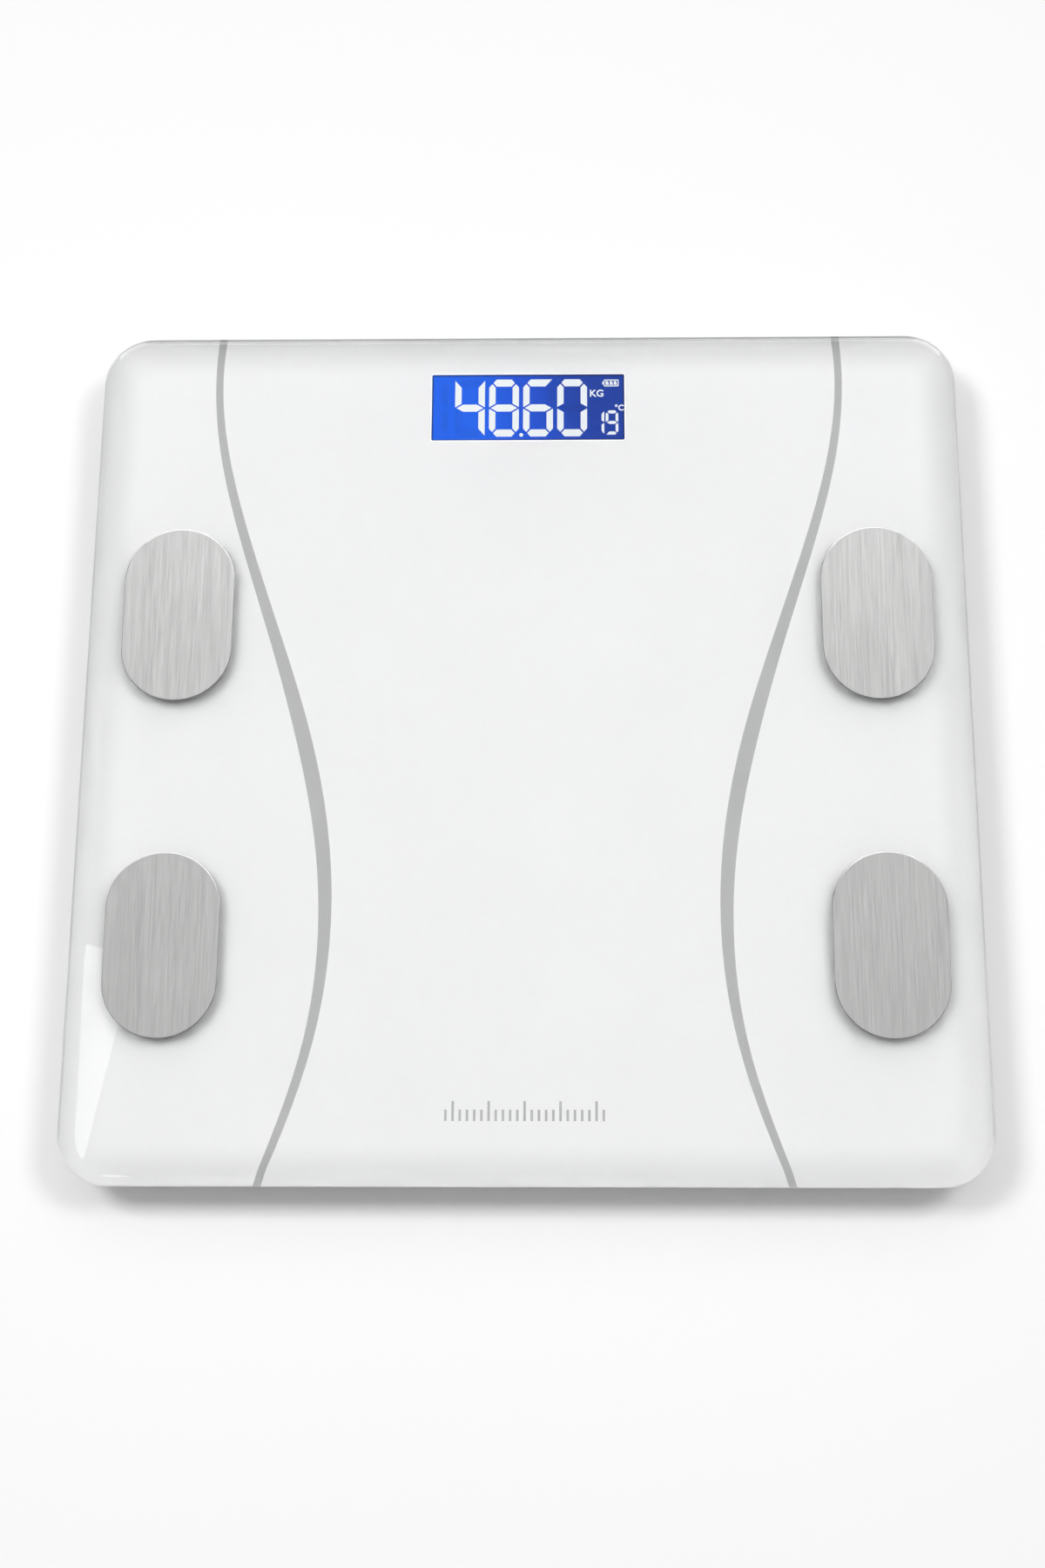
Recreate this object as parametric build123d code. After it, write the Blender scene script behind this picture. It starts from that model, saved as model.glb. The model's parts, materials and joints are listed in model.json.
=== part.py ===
"""Digital bathroom scale with body-composition electrodes, in millimetres.

A square tempered-glass platform is taped to a moulded base tray. The base stands on four feet,
each of which bears on a strain-gauge load cell. Four brushed plates on the glass are the
electrodes. A backlit display looks up through a window in the white print under the glass.

Frame: +X to the user's right, +Y away from the user, +Z up. The origin is on the floor under the
middle of the platform.
"""
from build123d import *
import math
import os

# ---------------------------------------------------------------- shaping
JOIN = 0.1                  # joined shapes run this far into each other
CUT_PAST = 1.0              # a cut runs this far past what it cuts

# ---------------------------------------------------------------- platform
PLATE_W = 260.0             # along X
PLATE_D = 260.0             # along Y
PLATE_CORNER_R = 15.0       # corner radius seen from above
GLASS_T = 5.0
GLASS_EDGE_R = 4.0          # rounded upper edge
GLASS_ARRIS = 0.5           # bevel of the lower edge
PRINT_T = 0.2               # print under the glass
TAPE_T = 0.8                # foam tape between the print and the base
TAPE_BAR_W = 6.0            # tape laid over a rib

# ---------------------------------------------------------------- printed pattern
# One edge-to-edge stripe: share of the depth from the front edge, distance of its middle from the
# side edge, and its width. The left stripe mirrors the right one.
STRIPE_STATIONS = [
    (0.000, 55.6, 2.2),
    (0.065, 62.0, 2.5),
    (0.155, 68.9, 2.8),
    (0.271, 72.6, 3.5),
    (0.380, 71.2, 4.2),
    (0.500, 65.0, 4.6),
    (0.612, 56.4, 3.8),
    (0.770, 43.2, 2.9),
    (0.880, 36.7, 2.4),
    (0.950, 35.3, 2.2),
    (1.000, 36.0, 2.5),
]
TICK_COUNT = 23             # row of plain graduation ticks near the front edge
TICK_PITCH = 2.0
TICK_W = 0.7
TICK_SHORT = 3.2
TICK_LONG = 5.6
TICK_LONG_EVERY = 5
TICK_FROM_FRONT = 18.2      # lower end of the ticks from the front edge

# ---------------------------------------------------------------- electrodes
ELECTRODE_W = 32.5
ELECTRODE_L = 54.0
ELECTRODE_T = 0.4
ELECTRODE_EDGE_R = 0.15         # softened upper edge
ELECTRODE_FROM_SIDE = 26.9      # middle of a plate from the side edge
ELECTRODE_FROM_REAR = 92.1      # middle of a rear plate from the rear edge
ELECTRODE_FROM_FRONT = 67.6     # middle of a front plate from the front edge
STUD_R = 2.6
STUD_HOLE_R = 3.0               # hole through the glass
STUD_PRINT_R = 3.2              # opening in the print
STUD_BELOW_PRINT = 0.9          # stud's end below the print
POST_R = 3.5                    # base post under each stud
RING_R = 3.2                    # ring terminal on the post
RING_T = 0.5
RING_ROOM = 0.6                 # free width round the ring, clear of ribs and tape
ELECTRODE_SPRING_R = 2.0        # middle of the wire
ELECTRODE_SPRING_WIRE_R = 0.25
ELECTRODE_SPRING_TURNS = 4

# ---------------------------------------------------------------- base tray
GROUND_GAP = 4.0            # floor to the base's underside
BASE_INSET = 7.0            # base outline inside the platform's
BASE_CORNER_R = 9.0
BASE_BOTTOM_R = 2.5         # rounded lower outer edge
BASE_WALL = 2.0
BASE_FLOOR = 2.0
RIM_LAND_W = 3.0            # extra width of the rim under the tape
RIM_LAND_H = 2.5
RIB_T = 1.4
RIB_GAP = 2.0               # rib to a foot pocket

# ---------------------------------------------------------------- feet and load cells
FOOT_R = 21.0
FOOT_RIM_T = 2.0
FOOT_SOLE_T = 2.2
FOOT_EDGE_R = 0.8           # rounded lower edge
FOOT_WEB_COUNT = 3          # stiffening webs inside the cup
FOOT_WEB_T = 1.6
FOOT_WEB_ANGLE = 60.0       # of the first web, degrees
FOOT_WEB_BELOW_RIM = 1.5
FOOT_TO_GAUGE = 0.4         # cup's rim to the strain gauge above it
FOOT_DROP = 0.5             # a lifted foot drops this far on its hooks
FOOT_POST_R = 4.5
FOOT_POST_GAP = 0.05        # post's tip to the load cell's tongue
PAD_R = 18.0
PAD_T = 1.6
PAD_RECESS = 0.6            # how deep the pad sits in the foot
PAD_FIT = 0.05              # round the pad in its recess
PAD_GROOVES = (8.0, 12.0, 15.5)
PAD_GROOVE_W = 1.0
PAD_GROOVE_DEPTH = 0.5
POCKET_CLEARANCE = 0.6
POCKET_WALL = 2.4
POCKET_MARGIN = 1.0         # pocket to the base's side wall
POCKET_CEILING_T = 1.6
POCKET_RIB_INSET = 1.0      # crossed ribs on the ceiling stop short of its edge
HOOK_COUNT = 3
HOOK_ANGLE = 22.0           # degrees of arc
HOOK_OUT = 1.7
HOOK_H = 1.2
HOOK_FROM_EXIT = 60.0       # degrees from the wire exit to the nearest hook
HOOK_ROOT = 0.5             # hook's root inside the cup's rim
HOOK_END_GAP = 0.3          # window past the hook's end
HOOK_SIDE_GAP = 4.0         # window wider than the hook, degrees of arc
HOOK_WINDOW_GAP = 0.25      # window past the hook's travel
CELL_SIDE = 32.0
CELL_T = 2.6
CELL_CORNER_R = 5.0
CELL_FRAME = 5.0
TONGUE_W = 13.0
TONGUE_PAST_CENTRE = 8.0
CELL_FLEX_ROOM = 0.6        # free height above the tongue
CELL_LOCATOR_T = 1.5
CELL_LOCATOR_L = 6.0
CELL_LOCATOR_UP = 0.3       # locator's lower end above the cell's underside
CELL_FIT = 0.2
CELL_SEAT_INSET = 0.5       # seat inside the cell's outline
CELL_SEAT_FROM_HOLE = 1.0
CELL_SEAT_CORNER_R = 1.0
GAUGE_L = 5.0
GAUGE_W = 8.0
GAUGE_T = 1.0
GAUGE_CORNER_R = 1.0
GAUGE_FROM_HOLE = 0.5       # gauge's end from the edge of the cell's hole

# ---------------------------------------------------------------- display and circuit board
WINDOW_W = 58.8
WINDOW_D = 22.1
WINDOW_FROM_REAR = 12.0     # rear edge of the window from the platform's rear edge
LCD_OVER_SIDE = 3.6         # display glass past the window
LCD_OVER_REAR = 1.5
LCD_LEDGE = 3.4             # contact ledge past the window's front
LCD_T = 2.2
LCD_TO_PRINT = 0.2
GUIDE_T = 2.8               # backlight guide
STACK_GAP = 0.1             # between stacked pieces of the display
FRAME_SIDE_T = 2.0
FRAME_FRONT_T = 1.8
FRAME_REAR_T = 0.9
FRAME_FLOOR_T = 1.2
FRAME_FIT = 0.2
ZEBRA_D = 2.0
ZEBRA_FROM_FRONT = 0.4      # strip from the display glass's front edge
ZEBRA_INSET = 2.0           # strip's ends inside the display glass
ZEBRA_FIT = 0.1
ZEBRA_END_FIT = 0.2
GUIDE_TO_ZEBRA = 0.6
GUIDE_INSET = 1.0           # guide's ends inside the display glass
GUIDE_FROM_REAR = 0.3
BOARD_T = 1.6
BOARD_DEPTH = 41.5
BOARD_TO_WALL = 1.5
BOARD_PAST_CABLE = 4.0      # board's side past the outermost cable
DISPLAY_ROOM = 1.0          # free width round the board and the display frame
BOARD_SCREW_INSET = 4.2
BOARD_FRONT_SCREW_X = 22.0
SCREW_R = 1.0
SCREW_LENGTH = 5.0
SCREW_HEAD_R = 2.0
SCREW_HEAD_H = 1.3
SCREW_HEAD_EDGE_R = 0.5
SCREW_SLOT_L = 2.2
SCREW_SLOT_W = 0.5
SCREW_SLOT_DEPTH = 0.6
SCREW_HOLE_CLEARANCE = 0.2
SCREW_PILOT_CLEARANCE = 0.05
SCREW_PILOT_PAST = 0.5      # pilot hole past the screw's tip
BOSS_R = 2.6
CHIP_R = 5.0
CHIP_T = 1.1
CHIP_EDGE_R = 0.9

# ---------------------------------------------------------------- unit button
BUTTON_R = 3.8
BUTTON_HOLE_CLEARANCE = 0.2
BUTTON_RECESS = 0.2         # button's face above the base's underside
BUTTON_EDGE_R = 0.4
BUTTON_FLANGE_R = 4.8
BUTTON_FLANGE_T = 0.9
BUTTON_TRAVEL = 0.4
BUTTON_X = 30.0
BUTTON_FROM_REAR = 26.0
SWITCH_SIDE = 6.0
SWITCH_H = 3.1
PLUNGER_R = 1.7
PLUNGER_OUT = 0.5           # plunger past the switch body
PLUNGER_IN = 1.0
PLUNGER_CLEARANCE = 0.1
SWITCH_CAVITY_SPARE = 0.2

# ---------------------------------------------------------------- batteries
BATTERY_R = 5.1             # size AAA
BATTERY_L = 44.5
BATTERY_NUB_R = 1.9
BATTERY_NUB_L = 0.8
BATTERY_EDGE_R = 0.6
BATTERY_GAP = 1.6           # between the two cells
BATTERY_CLEARANCE = 0.2
BAY_SIDE_GAP = 0.4          # more room beside the cells
BAY_Y = 35.0                # middle of the bay
BAY_WALL = 2.0              # bay wall beyond the cover's ledge
BAY_ROOF_T = 1.1
BAY_ROOF_GAP = 0.3          # batteries to the roof
BAY_TO_TAPE = 0.2
COVER_T = 1.9
COVER_LEDGE = 1.6           # seat that the cover closes on
COVER_FIT = 0.25
COVER_SEAT_GAP = 0.1
COVER_RIDGE_W = 1.6
COVER_RIDGE_H = 2.2
COVER_RIDGE_END = 9.0       # ridge stops this far from each end of the cover
HINGE_PIN_R = 0.6
HINGE_PIN_L = 1.2
HINGE_HOLE_CLEARANCE = 0.05
HINGE_END_GAP = 0.2
GRIP_DEPTH = 0.4
COVER_GRIP_LINES = 5
COVER_GRIP_PITCH = 2.4
COVER_GRIP_W = 1.0
COVER_GRIP_FROM_LATCH = 3.0
LATCH_W = 13.0
LATCH_L = 5.6
LATCH_GAP = 0.3
LATCH_TRAVEL = 1.0
LATCH_TRAVEL_SPARE = 0.2
LATCH_NIB = 0.2
LATCH_NIB_INSET = 2.0       # nib's ends inside the latch's
LATCH_NIB_BELOW_TOP = 0.2
LATCH_TONGUE = 0.8          # depth of the groove the latch's tongues run in
LATCH_GROOVE_H = 0.8
LATCH_TONGUE_H = 0.6
LATCH_TONGUE_GAP = 0.2      # tongue's tip to the groove's bottom
LATCH_TONGUE_SETBACK = 1.0
LATCH_GRIP_LINES = 3
LATCH_GRIP_PITCH = 1.3
LATCH_GRIP_W = 0.6
LATCH_GRIP_FROM_END = 1.2
LATCH_GRIP_INSET = 1.0
CATCH_INSET = 1.0           # catch's ends inside the latch's
CATCH_DEPTH = 0.4
CATCH_BELOW_NIB = 0.1
SHEET_T = 0.4               # battery contact sheet
SHEET_W = 8.0
SHEET_H = 8.0
TAIL_W = 2.0
TAIL_OUT = 1.0
TAIL_SLOT_H = 0.8
TAIL_SIDE_GAP = 0.2
BATTERY_SPRING_L = 4.7
BATTERY_SPRING_R = 2.8
BATTERY_SPRING_WIRE_R = 0.3
BATTERY_SPRING_TURNS = 3

# ---------------------------------------------------------------- wires
WIRE_R = 0.5
LEAD_R = 0.55
WIRE_PITCH = 1.1            # between the wires of one flat cable
BATTERY_LANE_1 = 2.9        # lanes beside the bay, from its outer end
BATTERY_LANE_2 = 5.9
ELECTRODE_LANE_1 = 4.9
ELECTRODE_LANE_2 = 7.4
SENSOR_LANE = 11.4
CABLE_BEND_R = 12.0
LEAD_BEND_R = 8.0
BATTERY_BEND_1 = 1.6
BATTERY_BEND_2 = 4.0
WIRE_ONTO_BOARD = 4.0       # how far a wire runs over or under the board
CHANNEL_GAP = 1.0           # rib notch round a wire
EXIT_GAP = 0.2              # above and below the cable in the pocket wall
EXIT_INTO_POCKET = 0.2

# ---------------------------------------------------------------- label
LABEL_W = 60.0
LABEL_D = 30.0
LABEL_T = 0.15
LABEL_CORNER_R = 2.0
LABEL_Y = -45.0

# ---------------------------------------------------------------- worked-out heights
base_z0 = GROUND_GAP
base_z1 = base_z0 + BASE_FLOOR
battery_z = base_z0 + COVER_T + COVER_SEAT_GAP + BATTERY_CLEARANCE + BATTERY_R
bay_roof_z0 = battery_z + BATTERY_R + BAY_ROOF_GAP
switch_stack = STACK_GAP + BUTTON_FLANGE_T + PLUNGER_OUT + SWITCH_H + BOARD_T
display_stack = FRAME_FLOOR_T + STACK_GAP + GUIDE_T + STACK_GAP + LCD_T + LCD_TO_PRINT
rim_z = max(
    bay_roof_z0 + BAY_ROOF_T + BAY_TO_TAPE,
    base_z1 + switch_stack + display_stack - TAPE_T,
)
print_z0 = rim_z + TAPE_T
glass_z0 = print_z0 + PRINT_T
glass_z1 = glass_z0 + GLASS_T
board_z1 = print_z0 - display_stack
board_z0 = board_z1 - BOARD_T
wire_z = board_z0 - WIRE_R          # wires soldered under the board
lead_z = board_z1 + LEAD_R          # wires soldered on top of it
cell_z0 = board_z0
cell_z1 = cell_z0 + CELL_T
ceiling_z0 = cell_z1 + CELL_FLEX_ROOM

# ---------------------------------------------------------------- worked-out places
base_x = PLATE_W / 2 - BASE_INSET
base_y = PLATE_D / 2 - BASE_INSET
inner_x = base_x - BASE_WALL
inner_y = base_y - BASE_WALL
pocket_r = FOOT_R + POCKET_CLEARANCE
pocket_out_r = pocket_r + POCKET_WALL
foot_x = inner_x - POCKET_MARGIN - pocket_out_r
foot_y = inner_y - POCKET_MARGIN - pocket_out_r
electrode_x = PLATE_W / 2 - ELECTRODE_FROM_SIDE
electrode_y = {1: PLATE_D / 2 - ELECTRODE_FROM_REAR, -1: ELECTRODE_FROM_FRONT - PLATE_D / 2}
window_y = PLATE_D / 2 - WINDOW_FROM_REAR - WINDOW_D / 2
bay_x = (BATTERY_L + BATTERY_SPRING_L) / 2 + SHEET_T
battery_spacing = 2 * BATTERY_R + BATTERY_GAP
bay_y = battery_spacing / 2 + BATTERY_R + BATTERY_CLEARANCE + BAY_SIDE_GAP
seat_x = bay_x + COVER_LEDGE
seat_y = bay_y + COVER_LEDGE
bay_out_x = seat_x + BAY_WALL
bay_out_y = seat_y + BAY_WALL
cover_x = seat_x - COVER_FIT
cover_y = seat_y - COVER_FIT
hinge_x = COVER_T / 2 - cover_x
hinge_z = base_z0 + COVER_T / 2
sensor_lane = bay_out_x + SENSOR_LANE
electrode_lane = {1: bay_out_x + ELECTRODE_LANE_2, -1: bay_out_x + ELECTRODE_LANE_1}
board_x = sensor_lane + WIRE_PITCH + BOARD_PAST_CABLE
board_y1 = inner_y - BOARD_TO_WALL
board_y0 = board_y1 - BOARD_DEPTH
button_y = PLATE_D / 2 - BUTTON_FROM_REAR
rib_x = foot_x - pocket_out_r - RIB_GAP
rib_y = foot_y - pocket_out_r - RIB_GAP
post_room = RING_R + RING_ROOM + TAPE_BAR_W / 2
for post_y in sorted((abs(y) for y in electrode_y.values()), reverse=True):
    if abs(rib_y - post_y) < post_room:
        rib_y = post_y - post_room      # the tape over a cross rib stays clear of the posts
tail_x = bay_out_x + TAIL_OUT
hook_angles = [180 + HOOK_FROM_EXIT + n * 360 / HOOK_COUNT for n in range(HOOK_COUNT)]

SIDES = {-1: "left", 1: "right"}
ENDS = {-1: "front", 1: "rear"}
CORNERS = [(sx, sy) for sy in (-1, 1) for sx in (-1, 1)]


def corner_name(sx, sy):
    return f"{ENDS[sy]}_{SIDES[sx]}"


# ---------------------------------------------------------------- helpers
def box(x0, x1, y0, y1, z0, z1):
    """A box between two corners."""
    middle = Pos((x0 + x1) / 2, (y0 + y1) / 2, (z0 + z1) / 2)
    return middle * Box(x1 - x0, y1 - y0, z1 - z0)


def rod(r, x, y, z0, z1):
    """An upright cylinder."""
    return Pos(x, y, (z0 + z1) / 2) * Cylinder(r, z1 - z0)


def tube(r_in, r_out, x, y, z0, z1):
    """An upright tube."""
    return rod(r_out, x, y, z0, z1) - rod(r_in, x, y, z0, z1)


def slab(w, d, r, z0, z1, x=0.0, y=0.0):
    """A flat plate with rounded corners."""
    return Pos(x, y, z0) * extrude(RectangleRounded(w, d, r), z1 - z0)


def sector(r_in, r_out, angle, spread, z0, z1):
    """A piece of a ring round the origin, spread degrees wide about angle."""
    ring = tube(r_in, r_out, 0, 0, z0, z1)
    reach = 2 * r_out
    half = reach * math.tan(math.radians(spread / 2))
    wedge = Polyline((0, 0), (reach, -half), (reach, half), (0, 0))
    cutter = Pos(0, 0, z0) * extrude(make_face(wedge), z1 - z0)
    return ring & (Rot(0, 0, angle) * cutter)


def shifted(points, offset):
    """A planar route moved sideways by offset, square corners kept square."""
    directions = []
    for (xa, ya), (xb, yb) in zip(points, points[1:]):
        run = math.hypot(xb - xa, yb - ya)
        directions.append(((xb - xa) / run, (yb - ya) / run))
    moved = []
    for i, (x, y) in enumerate(points):
        before = directions[max(i - 1, 0)]
        after = directions[min(i, len(directions) - 1)]
        nx, ny = -before[1] - after[1], before[0] + after[0]
        scale = offset / (1 + before[0] * after[0] + before[1] * after[1])
        moved.append((x + nx * scale, y + ny * scale))
    return moved


def wire(points, z, r, bend):
    """A round wire along a level route, with an arc of radius bend at each corner."""
    route = [(x, y, z) for x, y in points]
    path = Polyline(*route) if len(route) == 2 else FilletPolyline(*route, radius=bend)
    section = Plane(origin=path @ 0, z_dir=path % 0) * Circle(r)
    return sweep(section, path=path)


def flat_cable(points, z, bend):
    """Three wires side by side."""
    turn = 0.0
    if len(points) > 2:
        (xa, ya), (xb, yb), (xc, yc) = points[:3]
        turn = math.copysign(1, (xb - xa) * (yc - yb) - (yb - ya) * (xc - xb))
    wires = []
    for n in (-1, 0, 1):
        offset = n * WIRE_PITCH
        wires.append(wire(shifted(points, offset), z, WIRE_R, bend - turn * offset))
    return Compound(wires)


def coil(r, wire_r, length, turns, at, axis):
    """A helical spring whose wire just reaches both ends of its length."""
    rise = length - 2 * wire_r
    start = Vector(*at) + Vector(*axis) * wire_r
    path = Helix(rise / turns, rise, r, center=start, direction=axis)
    section = Plane(origin=path @ 0, z_dir=path % 0) * Circle(wire_r)
    return sweep(section, path=path, is_frenet=True)


# ---------------------------------------------------------------- platform
def stripe(side):
    """One printed stripe from the front edge to the rear edge."""
    inner, outer = [], []
    for share, from_side, width in STRIPE_STATIONS:
        y = (share - 0.5) * PLATE_D
        x = PLATE_W / 2 - from_side
        inner.append((side * (x - width / 2), y))
        outer.append((side * (x + width / 2), y))
    outline = [
        Spline(*inner),
        Line(inner[-1], outer[-1]),
        Spline(*reversed(outer)),
        Line(outer[0], inner[0]),
    ]
    body = Pos(0, 0, print_z0) * extrude(make_face(outline), PRINT_T)
    return body & print_outline()


def ticks():
    """A row of plain graduation ticks."""
    row = []
    y0 = TICK_FROM_FRONT - PLATE_D / 2
    middle = TICK_COUNT // 2
    for n in range(TICK_COUNT):
        x = (n - middle) * TICK_PITCH
        tall = TICK_LONG if (n - middle) % TICK_LONG_EVERY == 0 else TICK_SHORT
        row.append(box(x - TICK_W / 2, x + TICK_W / 2, y0, y0 + tall, print_z0, glass_z0))
    return Compound(row)


def print_outline():
    w = PLATE_W - 2 * GLASS_ARRIS
    d = PLATE_D - 2 * GLASS_ARRIS
    return slab(w, d, PLATE_CORNER_R - GLASS_ARRIS, print_z0, glass_z0)


def window(z0, z1):
    return box(-WINDOW_W / 2, WINDOW_W / 2, window_y - WINDOW_D / 2, window_y + WINDOW_D / 2, z0, z1)


def make_platform():
    glass = slab(PLATE_W, PLATE_D, PLATE_CORNER_R, glass_z0, glass_z1)
    glass = fillet(glass.faces().sort_by(Axis.Z)[-1].edges(), GLASS_EDGE_R)
    glass = chamfer(glass.faces().sort_by(Axis.Z)[0].edges(), GLASS_ARRIS)
    backing = print_outline() - window(print_z0, glass_z0)
    left, right, marks = stripe(-1), stripe(1), ticks()
    backing = backing - left - right
    for mark in marks.solids():
        backing = backing - mark
    for sx, sy in CORNERS:
        x, y = sx * electrode_x, electrode_y[sy]
        glass = glass - rod(STUD_HOLE_R, x, y, glass_z0, glass_z1)
        backing = backing - rod(STUD_PRINT_R, x, y, print_z0, glass_z0)
    return {
        "glass_platform": glass,
        "printed_backing": backing,
        "printed_stripe_left": left,
        "printed_stripe_right": right,
        "printed_tick_row": marks,
    }


def make_tape():
    """Die-cut foam frame: the rim of the base and a bar over each cross rib."""
    outer = slab(2 * base_x, 2 * base_y, BASE_CORNER_R, rim_z, print_z0)
    hole_x = inner_x - RIM_LAND_W
    hole_y = inner_y - RIM_LAND_W
    hole = slab(2 * hole_x, 2 * hole_y, BASE_CORNER_R - BASE_WALL - RIM_LAND_W, rim_z, print_z0)
    bars = []
    for s in (-1, 1):
        y = s * rib_y
        bars.append(box(-hole_x, hole_x, y - TAPE_BAR_W / 2, y + TAPE_BAR_W / 2, rim_z, print_z0))
    frame = outer - (hole - bars[0] - bars[1])
    lcd_x, lcd_y0, lcd_y1 = frame_outline()
    return frame - box(-lcd_x, lcd_x, lcd_y0, lcd_y1, rim_z, print_z0)


# ---------------------------------------------------------------- electrodes
def ring_room(sx, sy):
    """Free space round the ring terminal, the spring and the stud, from the post's top up."""
    return rod(RING_R + RING_ROOM, sx * electrode_x, electrode_y[sy], board_z1, print_z0)


def make_electrode(sx, sy):
    x, y = sx * electrode_x, electrode_y[sy]
    half_straight = (ELECTRODE_L - ELECTRODE_W) / 2
    outline = Rectangle(ELECTRODE_W, 2 * half_straight)
    for s in (-1, 1):
        outline = outline + Pos(0, s * half_straight) * Circle(ELECTRODE_W / 2)
    plate = Pos(x, y, glass_z1) * extrude(outline, ELECTRODE_T)
    plate = fillet(plate.faces().sort_by(Axis.Z)[-1].edges(), ELECTRODE_EDGE_R)
    return plate + rod(STUD_R, x, y, print_z0 - STUD_BELOW_PRINT, glass_z1)


def make_electrode_spring(sx, sy):
    foot = board_z1 + RING_T
    length = print_z0 - STUD_BELOW_PRINT - foot
    at = (sx * electrode_x, electrode_y[sy], foot)
    return coil(ELECTRODE_SPRING_R, ELECTRODE_SPRING_WIRE_R, length, ELECTRODE_SPRING_TURNS, at, (0, 0, 1))


def electrode_route(sx, sy):
    x, y = sx * electrode_x, electrode_y[sy]
    lane = sx * electrode_lane[sy]
    return [(x - sx * (RING_R - LEAD_R), y), (lane, y), (lane, board_y0 + WIRE_ONTO_BOARD)]


def make_electrode_lead(sx, sy):
    """Ring terminal on its post, and the wire to the top of the board."""
    ring = rod(RING_R, sx * electrode_x, electrode_y[sy], board_z1, board_z1 + RING_T)
    return ring + wire(electrode_route(sx, sy), lead_z, LEAD_R, LEAD_BEND_R)


# ---------------------------------------------------------------- feet and load cells
def make_load_cell(sx, sy):
    """Steel plate with a tongue cut in it, joined on the side nearest the middle."""
    inner = CELL_SIDE - 2 * CELL_FRAME
    plate = slab(CELL_SIDE, CELL_SIDE, CELL_CORNER_R, cell_z0, cell_z1)
    hole = box(-inner / 2, inner / 2, -inner / 2, inner / 2, cell_z0, cell_z1)
    tongue = box(-TONGUE_PAST_CENTRE, inner / 2, -TONGUE_W / 2, TONGUE_W / 2, cell_z0, cell_z1)
    plate = plate - (hole - tongue)
    turn = 180 if sx > 0 else 0
    return Pos(sx * foot_x, sy * foot_y, 0) * Rot(0, 0, turn) * plate


def gauge_ends():
    """The gauge's two ends, measured from the cell's middle towards the board."""
    far = CELL_SIDE / 2 - CELL_FRAME - GAUGE_FROM_HOLE
    return far - GAUGE_L, far


def make_gauge(sx, sy):
    near, far = gauge_ends()
    xs = sorted((sx * (foot_x - near), sx * (foot_x - far)))
    y = sy * foot_y
    gauge = box(xs[0], xs[1], y - GAUGE_W / 2, y + GAUGE_W / 2, cell_z0 - GAUGE_T, cell_z0)
    return fillet(gauge.edges().filter_by(Axis.Z), GAUGE_CORNER_R)


def sensor_route(sx, sy):
    start = (sx * (foot_x - gauge_ends()[1]), sy * foot_y)
    if sy > 0:
        return [start, (sx * (board_x - WIRE_ONTO_BOARD), start[1])]
    return [start, (sx * sensor_lane, start[1]), (sx * sensor_lane, board_y0 + WIRE_ONTO_BOARD)]


def foot_rim_top():
    return cell_z0 - GAUGE_T - FOOT_TO_GAUGE


def make_foot(sx, sy):
    """Cup-shaped foot with a post under the load cell and three retaining hooks."""
    z0 = PAD_T - PAD_RECESS
    rim_top = foot_rim_top()
    foot = rod(FOOT_R, 0, 0, z0, rim_top)
    foot = foot - rod(FOOT_R - FOOT_RIM_T, 0, 0, z0 + FOOT_SOLE_T, rim_top)
    foot = foot - rod(PAD_R + PAD_FIT, 0, 0, z0, z0 + PAD_RECESS)
    foot = fillet(foot.faces().sort_by(Axis.Z)[0].edges().sort_by(SortBy.LENGTH)[-1:], FOOT_EDGE_R)
    web = box(0, FOOT_R - FOOT_RIM_T / 2, -FOOT_WEB_T / 2, FOOT_WEB_T / 2,
              z0 + FOOT_SOLE_T - JOIN, rim_top - FOOT_WEB_BELOW_RIM)
    for n in range(FOOT_WEB_COUNT):
        foot = foot + Rot(0, 0, FOOT_WEB_ANGLE + n * 360 / FOOT_WEB_COUNT) * web
    foot = foot + rod(FOOT_POST_R, 0, 0, z0 + PAD_RECESS, cell_z0 - FOOT_POST_GAP)
    for angle in hook_angles:
        hook = sector(FOOT_R - HOOK_ROOT, FOOT_R + HOOK_OUT, angle, HOOK_ANGLE, rim_top - HOOK_H, rim_top)
        foot = foot + hook
    turn = 180 if sx < 0 else 0
    return Pos(sx * foot_x, sy * foot_y, 0) * Rot(0, 0, turn) * foot


def make_foot_pad(sx, sy):
    x, y = sx * foot_x, sy * foot_y
    pad = rod(PAD_R, x, y, 0, PAD_T)
    for r in PAD_GROOVES:
        pad = pad - tube(r - PAD_GROOVE_W / 2, r + PAD_GROOVE_W / 2, x, y, 0, PAD_GROOVE_DEPTH)
    return pad


def pocket_solid(sx, sy):
    """Boss of the base that holds one foot and its load cell."""
    x, y = sx * foot_x, sy * foot_y
    boss = rod(pocket_out_r, x, y, base_z0, ceiling_z0 + POCKET_CEILING_T)
    span = pocket_out_r - POCKET_RIB_INSET
    top = ceiling_z0 + POCKET_CEILING_T
    for dx, dy in ((span, RIB_T / 2), (RIB_T / 2, span)):
        boss = boss + box(x - dx, x + dx, y - dy, y + dy, top - JOIN, rim_z)
    return boss


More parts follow.
